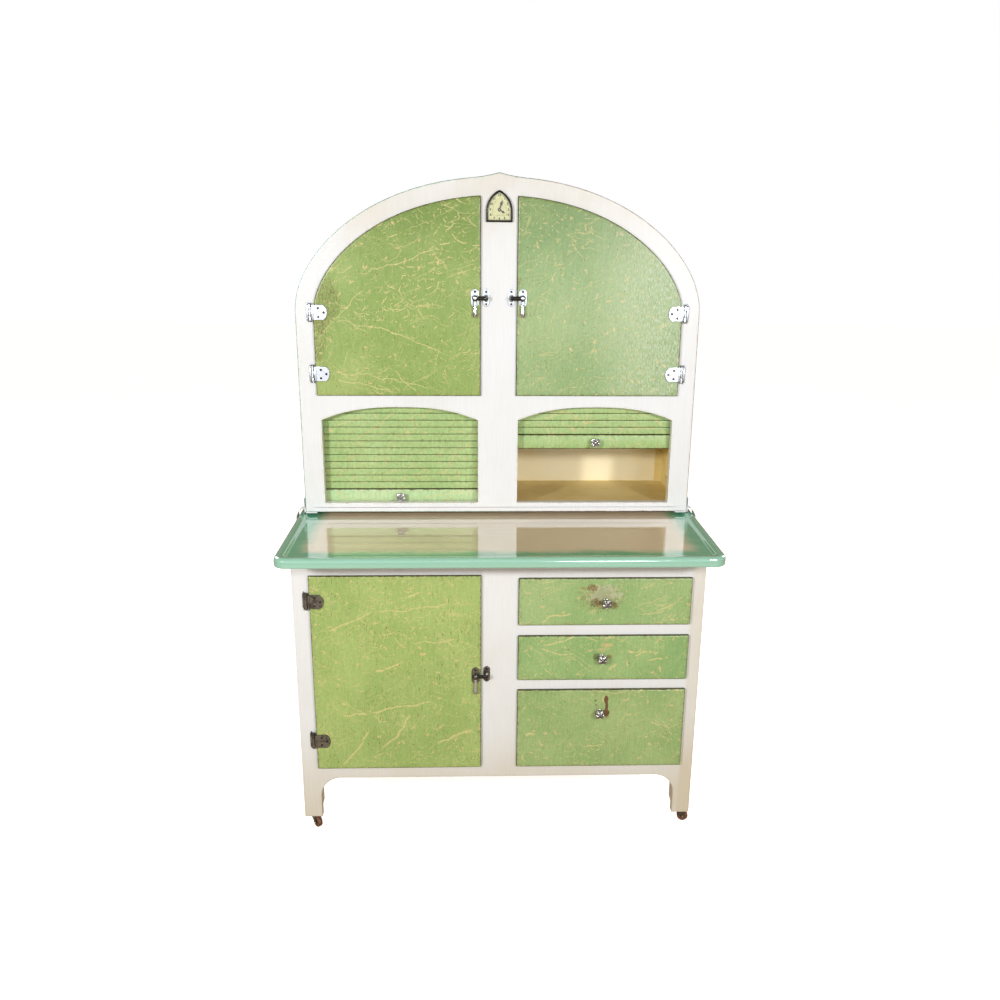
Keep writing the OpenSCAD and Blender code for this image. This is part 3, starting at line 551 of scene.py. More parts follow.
# Single strokes follow the photo's clearest scratches, and marks its stains and rubbed places.
# A stroke is (x, z) of both ends, width and bow; a mark is x, z, two radii, raggedness, colour and amount.
# All in millimetres. A material with 24 strokes rendered black; 11 strokes, or 8 with 5 marks, render well.
UL_STROKES = (
    (-428, 1180, -160, 1128, 2.4, 7), (-420, 1168, -250, 1122, 2.0, -5),
    (-380, 1300, -120, 1212, 2.2, 9), (-455, 1252, -330, 1380, 1.8, 6),
    (-205, 1120, -262, 1180, 2.0, 3), (-350, 1420, -150, 1482, 2.0, -9),
)
SLAT_STROKES = (
    (-372, 985, -262, 1070, 2.6, 3), (-140, 900, -95, 985, 2.2, -2), (-330, 880, -215, 925, 2.2, 4),
    (-420, 1030, -352, 1052, 2.0, 2), (-128, 1010, -60, 1028, 2.0, 2), (150, 1068, 262, 1040, 3.0, -2),
    (118, 1044, 182, 1071, 2.6, 2), (345, 1066, 438, 1034, 2.4, 3), (212, 1020, 240, 1062, 2.2, 0),
    (300, 1010, 420, 1026, 2.0, 3),
)
BAR_STROKES = (
    (128, 972, 172, 1002, 5.0, 0), (322, 992, 430, 975, 3.4, 2), (-200, 836, -120, 850, 2.6, 2),
    (-430, 850, -385, 830, 2.4, 0), (385, 1000, 448, 990, 2.6, 0),
)
CUP_STROKES = (
    (-430, 565, -309, 616, 3.4, 4), (-309, 616, -119, 643, 3.0, -4), (-216, 534, -102, 554, 3.2, -2),
    (-399, 343, -330, 340, 4.6, 0), (-330, 340, -161, 377, 4.6, 3), (-304, 244, -224, 342, 4.6, -8),
    (-164, 258, -64, 301, 5.0, -4), (-405, 192, -330, 297, 4.2, -5), (-312, 456, -236, 491, 4.6, 2),
    (-226, 659, -195, 672, 5.0, 2),
)
D1_STROKES = (
    (99, 592, 180, 612, 3.0, 2), (105, 693, 138, 702, 2.4, 0), (344, 682, 376, 692, 2.2, 0),
    (386, 618, 438, 637, 3.0, 2), (347, 606, 412, 622, 2.2, -2), (246, 598, 254, 605, 3.6, 0),
)
D2_STROKES = (
    (102, 527, 194, 548, 3.2, 2), (97, 522, 192, 499, 3.2, -2), (215, 545, 247, 541, 3.0, 0),
    (260, 545, 289, 555, 3.4, 2), (302, 542, 320, 552, 3.0, 0), (318, 515, 373, 510, 3.0, 0),
    (339, 495, 373, 512, 5.0, 1), (373, 512, 402, 511, 3.6, 0), (370, 487, 413, 485, 4.2, 1),
    (273, 459, 296, 472, 5.0, 0), (163, 475, 190, 490, 2.4, 1),
)
D3_STROKES = (
    (247, 398, 331, 400, 2.6, 1), (328, 332, 339, 337, 4.0, 0), (347, 392, 367, 403, 3.4, 0),
    (435, 410, 460, 400, 4.0, 1), (67, 277, 96, 279, 4.0, 0), (215, 240, 273, 247, 3.4, 2),
    (376, 267, 386, 270, 4.6, 0), (389, 307, 425, 303, 2.4, 1),
)
D1_MARKS = (
    (252, 656, 50, 31, 1.1, (0.25, 0.145, 0.055), 0.60),
    (258, 666, 40, 21, 1.2, (0.50, 0.50, 0.36), 0.78),
    (252, 664, 24, 14, 1.2, (0.28, 0.27, 0.13), 0.50),
    (228, 682, 13, 9, 0.9, (0.20, 0.085, 0.030), 0.95),
    (236, 643, 15, 11, 0.5, (0.13, 0.055, 0.020), 0.92),
    (281, 636, 11, 8, 0.6, (0.20, 0.10, 0.035), 0.8), (204, 681, 12, 4, 0.6, (0.30, 0.17, 0.06), 0.6),
)
D2_MARKS = (
    (268, 528, 16, 6, 0.5, (0.66, 0.44, 0.20), 0.85), (256, 514, 10, 7, 0.5, (0.62, 0.46, 0.22), 0.7),
    (276, 497, 8, 5, 0.5, (0.22, 0.12, 0.05), 0.7), (243, 497, 9, 9, 0.4, (0.10, 0.09, 0.03), 0.6),
)
D3_MARKS = (
    (273, 377, 5.5, 12, 0.15, (0.13, 0.045, 0.018), 0.92),
    (275, 358, 4.0, 13, 0.15, (0.13, 0.045, 0.018), 0.92),
    (274, 340, 8.5, 11, 0.25, (0.15, 0.055, 0.020), 0.92),
    (246, 375, 2.6, 2.6, 0.2, (0.07, 0.04, 0.02), 0.85),
    (248, 362, 2.2, 2.2, 0.2, (0.20, 0.06, 0.02), 0.85),
)

GREEN = green_paint("green_paint", (0.245, 0.350, 0.090), (0.325, 0.420, 0.130), 0.5, 0.5, 0.0, UL_STROKES,
                    abrasion=((-437, 1350, 42, 62), (-452, 1262, 20, 60)))
# the right upper door, with a painted highlight on its right part
GREEN_PAINTED_SHEEN = green_paint("green_paint_painted_sheen", (0.255, 0.375, 0.155), (0.325, 0.430, 0.195), 0.28, 0.80, 2.0,
                         painted_sheen=0.50)
GREEN_BUSY = green_paint("green_paint_busy", (0.285, 0.395, 0.112), (0.350, 0.455, 0.145), 0.66, 0.9, 5.0,
                         CUP_STROKES)
DRAWER_GREEN = {
    "top": green_paint("green_paint_top_drawer", (0.265, 0.400, 0.150), (0.325, 0.445, 0.185),
                       0.20, 0.35, 8.0, D1_STROKES, D1_MARKS),
    "middle": green_paint("green_paint_middle_drawer", (0.235, 0.380, 0.135), (0.305, 0.435, 0.168),
                          0.24, 0.45, 9.3, D2_STROKES, D2_MARKS),
    "bottom": green_paint("green_paint_bottom_drawer", (0.265, 0.385, 0.138), (0.325, 0.435, 0.170),
                          0.26, 0.45, 10.7, D3_STROKES, D3_MARKS),
}
GREEN_SLATS = green_paint("green_paint_slats", (0.335, 0.485, 0.185), (0.400, 0.540, 0.230), 0.50, 0.3, 13.0,
                          SLAT_STROKES)
GREEN_BARS = green_paint("green_paint_bars", (0.425, 0.600, 0.300), (0.495, 0.640, 0.345), 0.50, 0.25, 13.0,
                         BAR_STROKES)
CREAM = cream_paint("cream_paint")
CREAM_PLAIN = cream_paint("cream_paint_plain", worn_edges=False)
BUFF = inner_paint("inner_paint", (0.83, 0.66, 0.27), (0.64, 0.47, 0.15))
# a lighter copy of the inside paint for the hutch's back lining: painted light on the back wall
LINING_PAINTED_LIGHT = inner_paint("inner_paint_painted_light", (0.93, 0.83, 0.56), (0.88, 0.72, 0.38))
WOOD_X = raw_wood("raw_wood_x", "X")
WOOD_Y = raw_wood("raw_wood_y", "Y")
WOOD_Z = raw_wood("raw_wood_z", "Z")
MINT = enamel("mint_enamel")
NICKEL = plated("bright_nickel", (0.72, 0.765, 0.82), (0.45, 0.46, 0.47), 0.66, 0.38, 0.48, 0.0, 1.0)
PULL_NICKEL = plated("pull_nickel", (0.42, 0.41, 0.40), (0.20, 0.19, 0.17), 0.48, 0.28, 0.42, 3.0, 0.9)
# nickel painted near black for the latch levers' arm and hub: a painted dark reflection
NICKEL_PAINTED_DARK = plated("nickel_painted_dark", (0.075, 0.07, 0.065), (0.03, 0.026, 0.02), 0.45, 0.16, 0.30, 4.0, 1.0)
NICKEL_WORN = plated("worn_nickel", (0.66, 0.68, 0.70), (0.16, 0.15, 0.13), 0.52, 0.14, 0.30, 2.0, 1.0)
DARK_NICKEL = plated("dark_nickel", (0.30, 0.285, 0.26), (0.075, 0.066, 0.05), 0.42, 0.24, 0.46, 3.0)
STEEL_PLAIN = plated("caster_steel_plain", (0.34, 0.32, 0.30), (0.16, 0.085, 0.045), 0.46, 0.22, 0.48, 9.0,
                     0.6, False)
SCREW = plated("dark_screw", (0.10, 0.095, 0.085), (0.035, 0.028, 0.02), 0.40, 0.30, 0.50, 6.0)
STEEL = plated("caster_steel", (0.34, 0.32, 0.30), (0.16, 0.085, 0.045), 0.46, 0.22, 0.48, 9.0)
BLACK = black_paint("clock_black")
DIAL = dial_paint("dial_paint")
GLASS = clear_glass("clock_glass")
CLOTH = cloth("backing_cloth")
WHEEL = wheel_wood("wheel_wood")


# ---------- shapes ----------

def turned_left(loop):
    """The closed loop of 2D points, anticlockwise."""
    area = sum(a[0] * b[1] - b[0] * a[1] for a, b in zip(loop, loop[1:] + loop[:1]))
    return loop if area > 0 else loop[::-1]


def inset(loop, distance):
    """The anticlockwise loop moved inwards, or outwards for a negative distance, with mitred corners."""
    if not distance:
        return list(loop)
    made = []
    for a, b, c in zip(loop[-1:] + loop[:-1], loop, loop[1:] + loop[:1]):
        d1, d2 = Vector((b[0] - a[0], b[1] - a[1])), Vector((c[0] - b[0], c[1] - b[1]))
        d1.normalize(), d2.normalize()
        n1, n2 = Vector((-d1.y, d1.x)), Vector((-d2.y, d2.x))
        n = n1 + n2
        n = n / max(n.length_squared / 2, 0.2)
        made.append((b[0] + n.x * distance, b[1] + n.y * distance))
    return made


FAR = 50.0          # a distance from the edge at which no wear shows
LINE_DEPTH = 1.4    # how far the painted line reaches back from the rounding
LINE_OFFSET = 3.0   # taken off the distances that mark the painted line


class Solid:
    """A mesh in the making, in millimetres. Each vertex has its distance from the nearest painted edge,
    and a weight, which is its share of a tambour's travel."""

    def __init__(self):
        self.verts, self.faces, self.edge, self.weight = [], [], [], []

    def ring(self, points, edge=FAR, weight=0.0):
        start = len(self.verts)
        self.verts += [tuple(p) for p in points]
        self.edge += [edge] * len(points)
        self.weight += [weight] * len(points)
        return list(range(start, len(self.verts)))

    def skin(self, a, b):
        n = len(a)
        self.faces += [(a[i], a[(i + 1) % n], b[(i + 1) % n], b[i]) for i in range(n)]

    def loft(self, rings, edges=None):
        """A closed solid through rings of points, with flat ends."""
        return self.close([self.ring(r, edges[i] if edges else FAR) for i, r in enumerate(rings)])

    def close(self, made):
        """Skins rings that are already in the mesh, and caps both ends."""
        for a, b in zip(made, made[1:]):
            self.skin(a, b)
        self.faces += [tuple(made[0]), tuple(made[-1])]
        return self

    def strip(self, rings, edges, weight=0.0):
        """A closed solid through rings that share one list of edge distances, one for each point."""
        made = [self.ring(r, 0.0, weight) for r in rings]
        for ring in made:
            for i, e in zip(ring, edges):
                self.edge[i] = e
        return self.close(made)

    def slab(self, outline, back, front, round_=0.0, holes=(), to_3d=None, wide=(), line=False):
        """A plate from a 2D outline with holes, from depth back to depth front, with rounded front edges.
        wide adds flat rings at those insets, which carry the distance from the edge across the face.
        line marks the front part of the outer edge with negative distances, for the painted line there."""
        to_3d = to_3d or (lambda p, depth: (p[0], depth, p[1]))
        sign = 1 if back > front else -1
        steps = [(0.0, back, 0.0)]
        if line:
            steps += [(0.0, front + sign * (round_ + LINE_DEPTH), 0.0)]
        steps += [(0.0, front + sign * round_, 0.0)]
        if round_:
            steps += [(0.3 * round_, front + sign * 0.3 * round_, 0.4), (round_, front, round_)]
        steps += [(w, front, w) for w in wide]
        outer = [e - LINE_OFFSET if line and i > 1 and e < LINE_OFFSET else e for i,
                 (_, _, e) in enumerate(steps)]
        loops = [turned_left(list(outline))] + [turned_left(list(h)) for h in holes]
        caps = [[], []]
        for k, loop in enumerate(loops):
            way = 1 if k == 0 else -1
            rings = [self.ring([to_3d(p, depth) for p in inset(loop, way * d)], outer[i] if k == 0 else edge)
                     for i, (d, depth, edge) in enumerate(steps)]
            for a, b in zip(rings, rings[1:]):
                self.skin(a, b)
            caps[0].append(rings[0])
            caps[1].append(rings[-1])
        for k, cap in enumerate(caps):
            flat = [i for ring in cap for i in ring]
            if len(cap) == 1:
                self.faces.append(tuple(flat))
            else:
                deep = [steps[0], steps[-1]][k][0]
                flats = [[Vector((*p, 0)) for p in inset(loop, (1 if i == 0 else -1) * deep)]
                         for i, loop in enumerate(loops)]
                self.faces += [tuple(flat[i] for i in t) for t in tessellate_polygon(flats)]
        return self

    def box(self, x, y, z, edge=FAR):
        v = self.ring([(a, b, c) for c in z for b in y for a in x], edge)
        for f in ((0, 1, 3, 2), (4, 5, 7, 6), (0, 1, 5, 4), (2, 3, 7, 6), (0, 2, 6, 4), (1, 3, 7, 5)):
            self.faces.append(tuple(v[i] for i in f))
        return self

    def lathe(self, profile, centre, axis, sides):
        """Turned about an axis through centre: profile gives (distance along the axis, radius)."""
        rings = []
        for along, radius in profile:
            ring = []
            for i in range(sides):
                a = 2 * math.pi * i / sides
                u, v = radius * math.cos(a), radius * math.sin(a)
                offset = {"y": (u, along, v), "z": (u, v, along), "x": (along, u, v)}[axis]
                ring.append(tuple(c + o for c, o in zip(centre, offset)))
            rings.append(ring)
        return self.loft(rings)

    def moved(self, matrix):
        self.verts = [tuple(matrix @ Vector(v)) for v in self.verts]
        return self

    def mirrored(self):
        self.verts = [(-x, y, z) for x, y, z in self.verts]
        return self

    def add(self, other):
        start = len(self.verts)
        self.verts += other.verts
        self.edge += other.edge
        self.weight += other.weight
        self.faces += [tuple(i + start for i in f) for f in other.faces]
        return self


def piece(name, solid, body, material, replaces=(), smooth=38, bevel=0.0, ride=True, inside=None,
          test=None):
    """Makes the mesh object, with outward normals, smooth shading up to an angle and an optional bevel.
    Faces whose centre and normal pass the test get the material inside."""
    mesh = bpy.data.meshes.new(name)
    mesh.from_pydata([tuple(c * MM for c in v) for v in solid.verts], [], solid.faces)
    attribute = mesh.attributes.new("edge", "FLOAT", "POINT")
    attribute.data.foreach_set("value", solid.edge)
    made = bmesh.new()
    made.from_mesh(mesh)
    bmesh.ops.recalc_face_normals(made, faces=made.faces)
    made.to_mesh(mesh)
    made.free()
    mesh.shade_smooth()
    mesh.set_sharp_from_angle(angle=math.radians(smooth))
    mesh.materials.append(material)
    if inside:
        mesh.materials.append(inside)
        for polygon in mesh.polygons:
            polygon.material_index = int(test(polygon.center / MM, polygon.normal))
    obj = bpy.data.objects.new(name, mesh)
    scene.collection.objects.link(obj)
    if bevel:
        soften(obj, bevel)
    if replaces:
        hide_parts(*replaces)
    if ride:
        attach(obj, body)
    return obj


def soften(obj, width):
    modifier = obj.modifiers.new("soft_edges", "BEVEL")
    modifier.width = width * MM
    modifier.segments = 2
    modifier.limit_method = "ANGLE"
    modifier.angle_limit = math.radians(40)


def keep_node(name, material, bevel):
    """A CAD node that stays as it is, with slightly soft edges and a better material."""
    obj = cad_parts[name]
    obj.data.materials.clear()
    obj.data.materials.append(material)
    if bevel:
        soften(obj, bevel)


def arc(cx, cz, rx, rz, start, end, n):
    """Points of an elliptical arc in the X-Z plane, angles in degrees."""
    return [(cx + rx * math.cos(math.radians(start + (end - start) * i / n)),
             cz + rz * math.sin(math.radians(start + (end - start) * i / n))) for i in range(n + 1)]


# ---------- sizes, in millimetres, repeated from the CAD ----------

HALF_W = 508
BASE_Y, HUTCH_Y, BACK_Y = -200, 40, 316
FRAME_T, PROUD, STEP_T, LIP, GAP = 20, 9, 9, 8, 2
LEG_Z, BASE_TOP, APRON_Z, BRACKET_R = 37, 772, 152, 54
POST_IN, POST_D = 462, 44
BASE_FLOOR_Z, TOP_RAIL_Z = 192, 703
HUTCH_Z, SILL_Z, SPRING_Z, ARCH_RISE = 802, 827, 1324, 323
CROWN_LIFT, CROWN_HALF = 9, 68
MID_SHELF_Z, OPENING_TOP_Z = 1122, 1594
DOOR_HALF, DOOR_ARCH_Z, DOOR_RISE, DOOR_IN = 463, 1317, 287, 45
DOOR_BOTTOM = MID_SHELF_Z - LIP
CUPBOARD_X, CUPBOARD_Z = (-466, -45), (184, 715)
DRAWER_X = (46, 475)
DRAWER_Z = {"top": (582, 707), "middle": (432, 554), "bottom": (184, 405)}
DRAWER_KNOBS = {"top": (262, 645), "middle": (257, 495), "bottom": (256, 343)}
TAMBOUR_X = (52, 455)
TAMBOUR_SPRING, TAMBOUR_TOP = 1049, 1083
SLAT_X, SLAT_Y, PITCH = (44, 466), 66, 18.5
BAR_Z, BAR_H, TRAVEL = 820, 39, 148
SLATS_Z = BAR_Z + BAR_H
KNOB_X = 257
CLOCK_Z = 1570
SIDE_T, ROOF_T = 12, 9
LINING_Y, PLANK_Y = (309, 311), (311, 315.4)
PIN_OUT, STUD_IN, KEEPER_OUT = 7, 14.5, 13.5       # from the door's hinged and free edges
UPPER_HINGES, UPPER_LATCH_Z = (1170, 1323), 1360
LOWER_HINGES, LOWER_LATCH_Z = (266, 649), 448
STRAP_YS, STRAP_W = (41, 231), 38
MINUTE_ANGLE, HOUR_ANGLE = 19, 121.6               # degrees, clockwise from twelve


def arch(a, b, z, end, n):
    """Points of an ellipse with slightly drawn-in shoulders, from the right springing to an angle."""
    turns = [math.radians(end * i / n) for i in range(n + 1)]
    return [(a * math.cos(t) * (1 - 0.025 * abs(math.sin(2 * t)) ** 1.5), z + b * math.sin(t)) for t in turns]


def outer_arch(step, n=96):
    """Points of the hutch's outer edge at an inset, from the right springing to the left."""
    points = arch(HALF_W - step, ARCH_RISE - step, SPRING_Z, 180, n)
    return [(x, z + CROWN_LIFT * max(0.0, 1 - abs(x) / CROWN_HALF) ** 2) for x, z in points]


def hutch_outline(step=0.0):
    return [(-HALF_W + step, HUTCH_Z), (HALF_W - step, HUTCH_Z)] + outer_arch(step)


def tambour_arch(x):
    half, mid = (TAMBOUR_X[1] - TAMBOUR_X[0]) / 2, (TAMBOUR_X[1] + TAMBOUR_X[0]) / 2
    return TAMBOUR_SPRING + (TAMBOUR_TOP - TAMBOUR_SPRING) * (1 - (abs(x - mid) / half) ** 2.6)


def flip(loop):
    return [(-x, z) for x, z in loop]


# ---------- face frames ----------

def base_frame():
    outline = ([(-HALF_W, LEG_Z), (-POST_IN, LEG_Z)]
               + arc(-POST_IN + BRACKET_R, APRON_Z - BRACKET_R, BRACKET_R, BRACKET_R, 180, 90, 14)
               + arc(POST_IN - BRACKET_R, APRON_Z - BRACKET_R, BRACKET_R, BRACKET_R, 90, 0, 14)
               + [(POST_IN, LEG_Z), (HALF_W, LEG_Z), (HALF_W, BASE_TOP), (-HALF_W, BASE_TOP)])
    stile = (CUPBOARD_X[1] - LIP, DRAWER_X[0] + LIP)

    def opening(x0, x1, z0, z1):
        return [(x0, z0), (x1, z0), (x1, z1), (x0, z1)]
    holes = [opening(-POST_IN, stile[0], BASE_FLOOR_Z, TOP_RAIL_Z)]
    for z0, z1 in DRAWER_Z.values():
        holes.append(opening(stile[1], POST_IN, z0 + LIP, min(z1 - LIP, TOP_RAIL_Z)))
    return Solid().slab(outline, BASE_Y + FRAME_T, BASE_Y, 1.3, holes, wide=(5, 13))


def hutch_frame():
    door = [(DOOR_IN + LIP, MID_SHELF_Z), (DOOR_HALF - LIP, MID_SHELF_Z)]
    a, b = DOOR_HALF - LIP, DOOR_RISE - LIP
    end = math.degrees(math.acos((DOOR_IN + LIP) / a)) - 0.12
    door += [(x, min(z, OPENING_TOP_Z)) for x, z in arch(a, b, DOOR_ARCH_Z, end, 40)]
    door.append((DOOR_IN + LIP, OPENING_TOP_Z - 0.5))
    tambour = [(TAMBOUR_X[0], SILL_Z), (TAMBOUR_X[1], SILL_Z)]
    tambour += [(x, tambour_arch(x)) for x in np.linspace(TAMBOUR_X[1], TAMBOUR_X[0], 41)]
    bore = arc(0, CLOCK_Z, 22, 22, 0, 345, 23)
    holes = [door, flip(door), tambour, flip(tambour), bore]
    return Solid().slab(hutch_outline(), HUTCH_Y + FRAME_T, HUTCH_Y, 1.5, holes, wide=(5, 13), line=True)


piece("base_face_frame", base_frame(), "carcass", CREAM,
      ("base_rails", "base_apron", "base_centre_stile", "base_posts"))
piece("hutch_face_frame", hutch_frame(), "carcass", CREAM,
      ("hutch_stiles", "hutch_rails", "hutch_arch_head"))


# ---------- the rest of the base ----------

def leg(solid, x, y, side, front):
    """A square post, tapered at its foot on the two inner sides. front gives where the post starts."""
    lo, hi = (POST_IN, HALF_W) if side > 0 else (-HALF_W, -POST_IN)
    rings = []
    for z, cut in ((LEG_Z, 9), (LEG_Z + 1.2, 8.4), (LEG_Z + 26, 0), (BASE_TOP, 0)):
        x0, x1 = (lo + cut * 0.75, hi) if side > 0 else (lo, hi - cut * 0.75)
        y0, y1 = (y, y + x - cut) if front else (y + cut, y + x)
        rings.append([(x0, y0, z), (x1, y0, z), (x1, y1, z), (x0, y1, z)])
    solid.loft(rings, edges=[0, 0, 6, 6])


posts = Solid()
for side in (-1, 1):
    leg(posts, POST_D - FRAME_T, BASE_Y + FRAME_T + 0.05, side, True)
    leg(posts, POST_D, BACK_Y - POST_D, side, False)
piece("base_posts_behind", posts, "carcass", CREAM, bevel=1.4)

rails = Solid()
for side in (-1, 1):
    for z in ((APRON_Z, 200), (700, BASE_TOP)):
        x = sorted((side * (HALF_W - 20), side * HALF_W))
        rails.box(x, (BASE_Y + POST_D, BACK_Y - POST_D), z, 12)
piece("base_side_rails", rails, "carcass", CREAM, bevel=1.2)
keep_node("base_side_panels", CREAM_PLAIN, 0.6)
keep_node("base_inner_boards", BUFF, 0.8)
keep_node("drawer_runners", WOOD_Y, 0.8)


def planks(solid, x0, x1, count, top, bottom, y):
    """Upright boards with softened edges, side by side."""
    for i in range(count):
        a, b = x0 + (x1 - x0) * i / count, x0 + (x1 - x0) * (i + 1) / count
        outline = [(a + 0.2, bottom), (b - 0.2, bottom)]
        outline += [(x, top(x)) for x in np.linspace(b - 0.2, a + 0.2, 9)]
        solid.slab(outline, y[0], y[1], 1.3, wide=(6,))


def nail_rows(solid, rows):
    for x, z in rows:
        solid.lathe([(315.2, 2.4), (315.7, 2.4), (315.95, 1.4)], (x, 0, z), "y", 10)


def roof_z(x):
    """Height of the hutch's outer edge at x."""
    quarter = outer_arch(0)[48::-1]
    return float(np.interp(abs(x), [p[0] for p in quarter], [p[1] for p in quarter]))


back = Solid()
planks(back, -HALF_W + 0.5, HALF_W - 0.5, 11, lambda x: roof_z(x) - 0.6, HUTCH_Z, PLANK_Y)
piece("hutch_back_planks", back, "carcass", WOOD_Z)
lining = Solid().slab(hutch_outline(0.5), *LINING_Y)
piece("hutch_back_lining", lining, "carcass", LINING_PAINTED_LIGHT, ("hutch_back",))
back = Solid()
planks(back, -POST_IN, POST_IN, 10, lambda x: BASE_TOP, APRON_Z, PLANK_Y)
piece("base_back_planks", back, "carcass", WOOD_Z, ("base_back",))
lining = Solid().box((-POST_IN, POST_IN), LINING_Y, (APRON_Z, BASE_TOP))
piece("base_back_lining", lining, "carcass", BUFF)
nails = Solid()
nail_rows(nails, [(x, z) for z in (180, 455, 750) for x in np.linspace(-440, 440, 21)])
nail_rows(nails, [(x, z) for z in (815, 1116, 1356) for x in np.linspace(-485, 485, 23)
                  if z < roof_z(x) - 20])
nail_rows(nails, [(0.97 * x, SPRING_Z + 0.965 * (z - SPRING_Z)) for x, z in outer_arch(0, 30)[1:-1]])
piece("back_nails", nails, "carcass", SCREW)


# ---------- the rest of the hutch ----------

def faces_in(centre, normal):
    """True on the inner side of the hutch's shell."""
    outward = normal.x * centre.x + normal.z * max(0.0, centre.z - SPRING_Z)
    return abs(normal.y) < 0.5 and outward < 0 and normal.z > -0.98


shell = [(HALF_W, HUTCH_Z)] + outer_arch(0) + [(-HALF_W, HUTCH_Z), (-HALF_W + SIDE_T, HUTCH_Z),
                                               (-HALF_W + SIDE_T, SPRING_Z)]
shell += outer_arch(ROOF_T)[::-1][2:-2]
shell += [(HALF_W - SIDE_T, SPRING_Z), (HALF_W - SIDE_T, HUTCH_Z)]
hutch_shell = Solid().slab(shell, LINING_Y[0], HUTCH_Y + FRAME_T + 0.05)
hutch_shell.edge = [40.0] * len(hutch_shell.edge)
piece("hutch_shell", hutch_shell, "carcass", CREAM,
      ("hutch_sides", "hutch_roof"), smooth=30, inside=BUFF, test=faces_in)
keep_node("hutch_inner_boards", BUFF, 0.8)
keep_node("tambour_tracks", BUFF, 0.6)

trims = Solid()
for side in (-1, 1):
    for x, y, z in (((470, 496), (301, 309), (816, 1110)), ((488, 496), (242, 301), (816, 1110)),
                    ((488, 496), (92, 242), (816, 848)), ((488, 496), (92, 242), (1080, 1110)),
                    ((8, 34), (301, 309), (816, 1110))):
        trims.box(sorted(side * v for v in x), y, z)
piece("compartment_trims", trims, "carcass", BUFF, bevel=0.9)


def bracket(y0, y1):
    """A pressed strap round the worktop's edge, with raised rims, a middle rib and a foot under the hutch."""
    path = [(511.2, 838, 0.0), (511.0, 815, 0.0)]
    path += [(508 + 25.6 * math.cos(math.radians(t)), 786 + 25.6 * math.sin(math.radians(t)), t)
             for t in range(84, -91, -12)]
    path += [(511.0, 757, 0.0), (511.2, 734, 0.0)]
    section = [(0, 0), (0, 1.9), (0.12, 1.9), (0.18, 0.9), (0.42, 0.9), (0.46, 1.9), (0.54, 1.9), (0.58, 0.9),
               (0.82, 0.9), (0.88, 1.9), (1, 1.9), (1, 0)]
    rings = []
    for x, z, t in path:
        n = (math.cos(math.radians(t)), math.sin(math.radians(t)))
        rings.append([(x + n[0] * (h - 0.8), y0 + (y1 - y0) * s, z + n[1] * (h - 0.8)) for s, h in section])
    made = Solid().loft(rings)
    return made.box((478, 512), (y0, y1), (798.7, 801.9)).box((508, 511.5), (y0, y1), (798.7, 816))


straps = Solid()
for y in STRAP_YS:
    straps.add(bracket(y, y + STRAP_W))
    straps.add(bracket(y, y + STRAP_W).mirrored())
piece("hutch_brackets_pressed", straps, "carcass", CREAM, ("hutch_brackets",), smooth=30)


# ---------- worktop ----------

def worktop_plan(step):
    w, y0, y1 = 526.5 - step, -316 + step, 300 - step
    r = max(30 - step, 9)
    loop = []
    for cx, cy, start in ((w - r, y0 + r, -90), (w - r, y1 - r, 0), (-w + r, y1 - r, 90),
                          (-w + r, y0 + r, 180)):
        loop += arc(cx, cy, r, r, start, start + 90, 8)
    return loop


pan = [(4.0, 789.5, 50), (4.0, 776, 50), (3.2, 774.3, 0), (1.6, 774.3, 0), (0.3, 776.0, 1), (0.0, 779.0, 3),
       (0.0, 787.5, 6), (0.6, 791.5, 8), (2.2, 794.9, 9), (4.8, 797.0, 10), (8.0, 797.9, 12),
       (12.0, 797.9, 15),
       (17.0, 797.6, 18), (20.5, 797.0, 20.5), (22.4, 796.2, 22.4), (24.2, 794.9, 24.2), (26.0, 793.4, 26),
       (27.4, 792.5, 27.4), (29.0, 792.1, 29), (31.0, 792.0, 31), (34, 792.0, 34), (60, 792.0, 60),
       (100, 792.0, 100), (150, 792.0, 150)]
top = Solid().loft([[(x, y, z) for x, y in worktop_plan(d)] for d, z, e in pan], [e for d, z, e in pan])
piece("worktop_enamel", top, "worktop", MINT, ("worktop_pan",), smooth=50)
keep_node("worktop_core", WOOD_X, 0.6)


# ---------- lipped doors and drawer fronts ----------

PROFILE = [(LIP + GAP, STEP_T, 30), (LIP + GAP, -0.3, 30), (0.8, -0.3, 3), (0.0, -1.0, 1), (0.0, -4.2, 0.3),
           (0.5, -6.2, 0.9), (1.7, -7.8, 2.0), (3.4, -8.7, 3.6), (5.2, -9.0, 5.2), (8, -9.0, 8),
           (13, -9.0, 13), (22, -9.0, 22), (40, -9.0, 40)]


def front_panel(outline, y, seed):
    """A lipped panel. outline(inset) gives its edge in X and Z. The face waves a little, like sanded wood."""
    rings = []
    for d, depth, e in PROFILE:
        wave = 0.17 if depth < -8 else 0.0
        rings.append([(x, y + depth + wave * noise.noise(Vector((x / 21, z / 21, seed))), z) for x,
                      z in outline(d)])
    return Solid().loft(rings, [e for d, depth, e in PROFILE])


def rectangle(x, z, radii):
    """Outline function of a rectangle with four corner radii, from the bottom left, anticlockwise."""
    def outline(d):
        loop = []
        corners = ((x[0], z[0], 1, 1, 180), (x[1], z[0], -1, 1, 270), (x[1], z[1], -1, -1, 0),
                   (x[0], z[1], 1, -1, 90))
        for (cx, cz, sx, sz, start), r in zip(corners, radii):
            r = max(r - d, 0.4)
            loop += arc(cx + sx * (d + r), cz + sz * (d + r), r, r, start, start + 90, 5)
        return loop
    return outline


